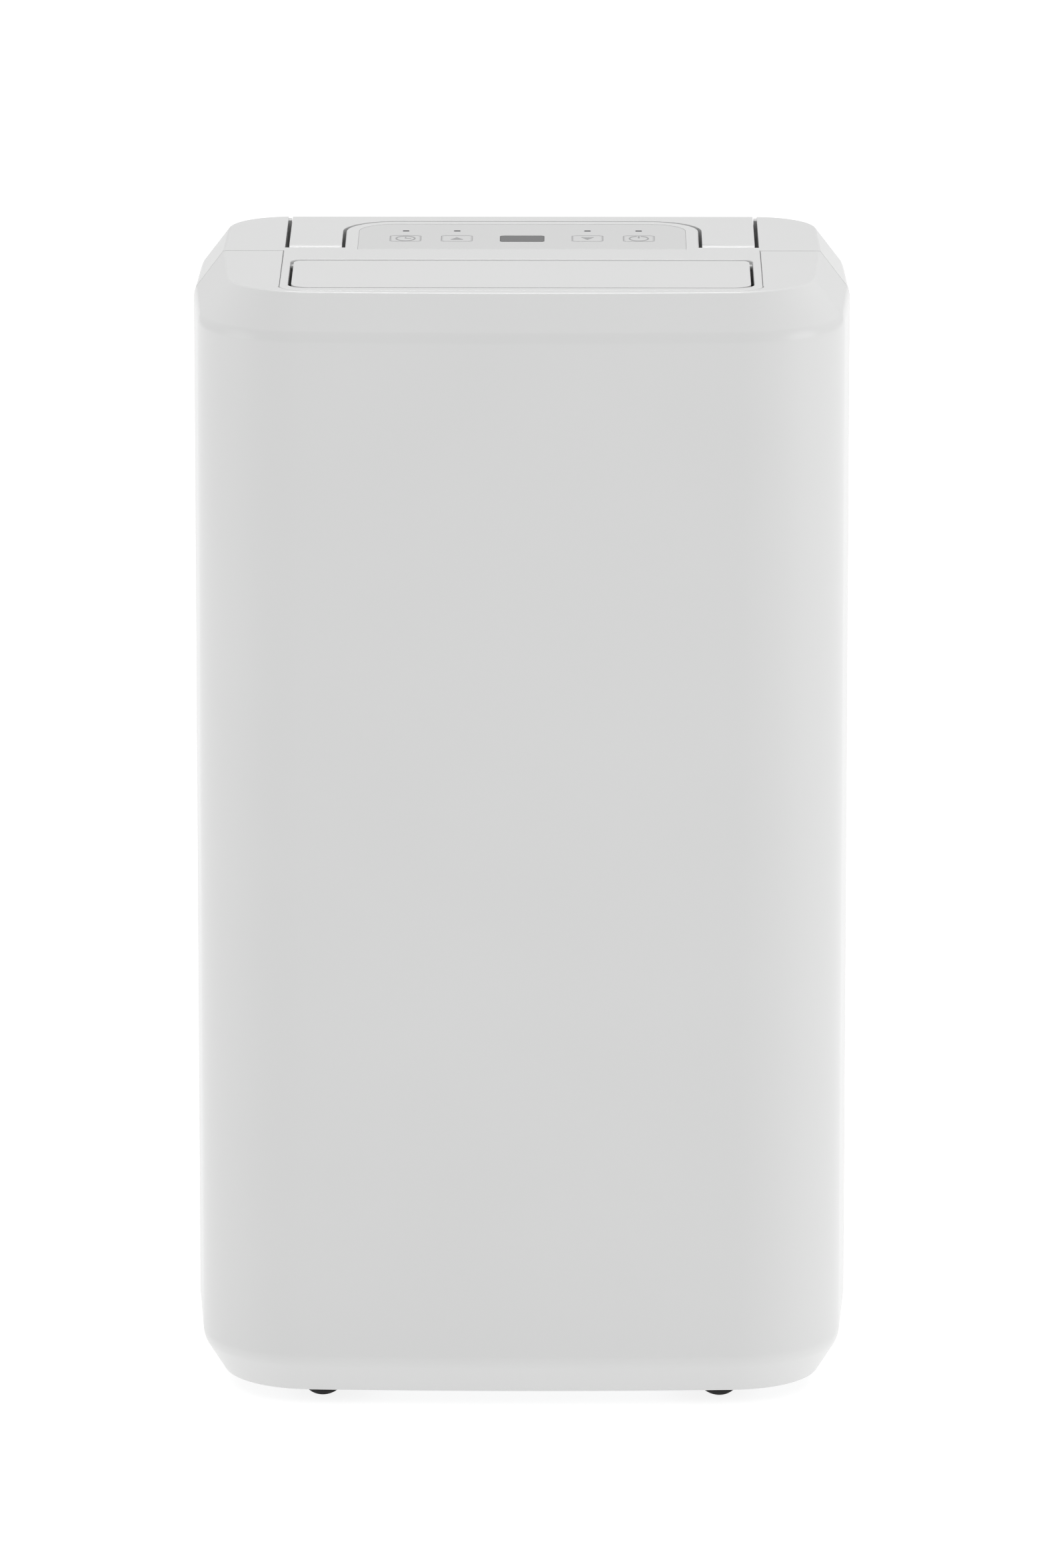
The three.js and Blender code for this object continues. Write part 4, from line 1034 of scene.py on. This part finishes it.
def placeCasters():
    first = {
        "caster_wheel": (makeWheel(), "wheel_", "blackRubber", "rubber_black"),
        "caster_fork": (makeFork(), "caster_", "casterNylon", "caster_black"),
        "caster_axle": (makeAxle(), "caster_", "platedSteel", "caster_steel"),
    }
    for node, (piece, body, look, slotName) in first.items():
        for place, (x, y) in casters["places"].items():
            copy = copyOf(piece, piece.name + place.title().replace("_", ""))
            turn = -casters["yaw"] if x > 0 else 180 + casters["yaw"]
            editPiece(copy)
            selectAll()
            bpy.ops.transform.rotate(value=-math.radians(turn), orient_axis="Z", center_override=(0, 0, 0))
            bpy.ops.transform.translate(value=Vector((x, y, 0)) * mm)
            leaveEdit()
            finishPiece(copy, looks[look], body + place, slotName, node + "_" + place, smooth=40)
    discard(*[entry[0] for entry in first.values()])


placeCasters()
print("casters made")

intake = {
    "half": 121, "low": 266, "high": 549, "corner": 8, "depth": 4, "edge": 0.8,
    "rows": 20, "border": 10, "bar": 3.2, "slotCorner": 2.2,
}


def makeIntake():
    rear, depth = case["rear"], intake["depth"]
    half, low, high, border, bar = [intake[name] for name in ("half", "low", "high", "border", "bar")]
    outline = roundedBox(-half, half, low, high, intake["corner"])
    piece = drawSolid("intakeGrille", "y", rear - depth, rear, outline)
    roundEdges(piece, edgesAt(alongY, rear), intake["edge"])
    leaveEdit()
    pitch = (high - low - 2 * border) / intake["rows"]
    slotLow = low + border + bar / 2
    slot = makeSolid("intakeSlot", "y", rear - depth - 2, rear + 2, roundedBox(
        bar, half - border, slotLow, slotLow + pitch - bar, intake["slotCorner"], pieces=4))
    applyModifier(slot, "MIRROR", use_mirror_merge=False)
    applyModifier(slot, "ARRAY", count=intake["rows"], use_relative_offset=False, use_constant_offset=True,
                  constant_offset_displace=(0, 0, pitch * mm))
    carve(piece, slot)
    return finishPiece(piece, looks["caseWhite"], "intake", "case_white", "intake_grille")


makeIntake()

bucket = {
    "half": 126, "low": 30, "high": 226, "corner": 8, "depth": 4, "edge": 1.0,
    "tubHalf": 123, "tubFront": 10, "tubLow": 45, "tubHigh": 220, "tubCorner": (12, 3), "tubEdge": (4, 4),
    "wall": 2.5, "pull": (45, 164, 192, 8), "pullDepth": 20, "pullWall": 2, "pullEdge": 1.6,
    "lip": 3.5, "hook": (8, 204), "play": 0.2,  # finger room behind the fascia, over the pull
}


def makeBucket():
    rear = case["rear"]
    half, low, high = bucket["half"], bucket["low"], bucket["high"]
    pullHalf, pullLow, pullHigh, pullCorner = bucket["pull"]
    wall, depth = bucket["pullWall"], bucket["pullDepth"]
    hookUp, hookHigh = bucket["hook"]
    outline = roundedBox(-half, half, low, high, bucket["corner"])
    piece = drawSolid("bucketFascia", "y", rear - bucket["depth"], rear, outline)
    roundEdges(piece, edgesAt(alongY, rear), bucket["edge"])
    leaveEdit()
    carve(piece, block("pullCup", (-pullHalf - wall, rear - depth - wall, pullLow - wall),
                       (pullHalf + wall, rear - bucket["lip"], hookHigh + wall)), operation="UNION")
    mouth = makeSolid("pullMouth", "y", rear - depth, rear + above,
                      roundedBox(-pullHalf, pullHalf, pullLow, pullHigh, pullCorner))
    carve(piece, mouth, block("pullHook", (-pullHalf, rear - depth, pullLow + hookUp),
                              (pullHalf, rear - bucket["depth"], hookHigh)))
    editPiece(piece)
    reach = pullHalf + 0.1
    roundEdges(piece, lambda a, b, edge: bothAt(a, b, alongY, rear)
               and bothWithin(a, b, alongX, -reach, reach)
               and bothWithin(a, b, alongZ, pullLow - 0.1, pullHigh + 0.1)
               and bent(edge), bucket["pullEdge"], 4)
    leaveEdit()
    finishPiece(piece, looks["caseWhite"], "bucket", "case_white", "water_bucket")
    tubHalf, tubFront, tubRear = bucket["tubHalf"], bucket["tubFront"], rear - bucket["depth"] - 0.1
    tubLow, tubHigh = bucket["tubLow"], bucket["tubHigh"]
    tub = drawSolid("bucketTub", "z", tubLow, tubHigh, roundedBox(
        -tubHalf, tubHalf, tubFront, tubRear, *bucket["tubCorner"]))
    roundEdges(tub, edgesAt(alongZ, tubLow), *bucket["tubEdge"])
    pickCap(tub, (0, 0, 1))
    insetBy(bucket["wall"])
    extrudeBy(0, 0, -(tubHigh - tubLow - bucket["wall"]))
    leaveEdit()
    room = wall + bucket["play"]
    carve(tub, block("pullRoom", (-pullHalf - room, rear - depth - room, pullLow - room),
                     (pullHalf + room, rear, hookHigh + room)))
    return finishPiece(tub, looks["bucketSmoke"], "bucket", "bucket_clear", "water_bucket")


makeBucket()
print("intake and bucket made")

stoppers = {  # profiles are radius and height over the floor of the dish
    "head": [(0, -9), (7.5, -9), (8.1, -8.4), (8.1, 0.6), (11.5, 0.6), (11.5, 2.2), (10.6, 3.1), (7.2, 3.1),
             (6.5, 2.4), (0, 2.4)],
    "collar": [(4.5, 1), (6.4, 1), (6.4, 4), (5.9, 4.4), (4.5, 4.4)], "bore": 4.2,
    "grip": (8.6, 1.7, 1.5, 4.3), "gripEdge": 0.6,
}


def makeStopper(name, place, body, node, bored):
    rear = case["rear"]
    floor = rear - fittings["dish"][1]
    x, z = place
    head, collar = [[(far, floor + up) for far, up in stoppers[profile]] for profile in ("head", "collar")]
    piece = turnAbout(name, (x, 0, z), head, steps=48)
    if bored:
        carve(piece, turnAbout("glandCollar", (x, 0, z), collar, steps=48), operation="UNION")
        carve(piece, rod("cordBore", "y", stoppers["bore"], head[0][1] - 5, rear + 5, place, 32))
    else:
        reach, grip, low, high = stoppers["grip"]
        bar = drawSolid("plugGrip", "y", floor + low, floor + high, roundedBox(
            x - reach, x + reach, z - grip, z + grip, grip - 0.05, pieces=6))
        roundEdges(bar, edgesAt(alongY, floor + high), stoppers["gripEdge"], 2)
        leaveEdit()
        carve(piece, bar, operation="UNION")
    return finishPiece(piece, looks["blackRubber"], body, "rubber_black", node)


makeStopper("drainPlug", fittings["drain"], "plug", "drain_plug", False)
makeStopper("cordGland", fittings["gland"], "root", "cord_gland", True)


screws = {  # the profile is radius and height over the floor of the well
    "head": [(0, -0.02), (4, -0.02), (4, 0.9), (3, 1.7), (1.6, 2.1), (0, 2.2)],
    "cross": (1.1, 2.6, 0.9),
}


def makeScrews():
    floor = case["rear"] - fittings["screwHole"][1]
    x, z = fittings["screws"][0]
    first = turnAbout("caseScrew", (x, 0, z), [(far, floor + up) for far, up in screws["head"]], steps=32)
    width, reach, low = screws["cross"]
    bars = []
    for name, halfX, halfZ in (("crossWide", reach, width / 2), ("crossTall", width / 2, reach)):
        bars.append(block(name, (x - halfX, floor + low, z - halfZ), (x + halfX, floor + 5, z + halfZ)))
    carve(first, *bars)
    for number, (placeX, placeZ) in enumerate(fittings["screws"], 1):
        screw = copyOf(first, f"caseScrew{number}")
        editPiece(screw)
        selectAll()
        bpy.ops.transform.translate(value=Vector((placeX - x, 0, placeZ - z)) * mm)
        leaveEdit()
        finishPiece(screw, looks["platedSteel"], "root", "steel_plated")
    discard(first)


makeScrews()
print("plug, gland and screws made")

discard(innerCase)

# finishes of the CAD parts that keep their own shape
nodeLooks = {
    "caseWhite": ["bucket_lid", "bucket_float"],
    "innerPlastic": ["outlet_grille", "drip_tray", "blower_housing", "partition", "base_pan",
                     "electrical_box"],
    "bucketSmoke": ["run_capacitor"],
    "lightPipe": ["light_guide", "digit_module"],
    "circuitBoard": ["control_board", "power_board", "humidity_sensor"],
    "finAluminium": ["evaporator_coil", "condenser_coil"],
    "platedSteel": ["handle_pin_left", "handle_pin_right", "fan_motor", "fan_shaft", "float_pin"],
    "pumpEnamel": ["compressor", "accumulator", "blower_wheel", "transformer"],
    "blackRubber": ["compressor_grommet_1", "compressor_grommet_2", "compressor_grommet_3"],
    "drawnCopper": ["discharge_pipe", "suction_pipe", "capillary_tube"],
    "filterMesh": ["air_filter"],
}
for lookName, nodeNames in nodeLooks.items():
    for nodeName in nodeNames:
        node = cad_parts[nodeName]
        node.data.materials.clear()
        node.data.materials.append(looks[lookName])
print("frame parts finished")

discard(outerCase)
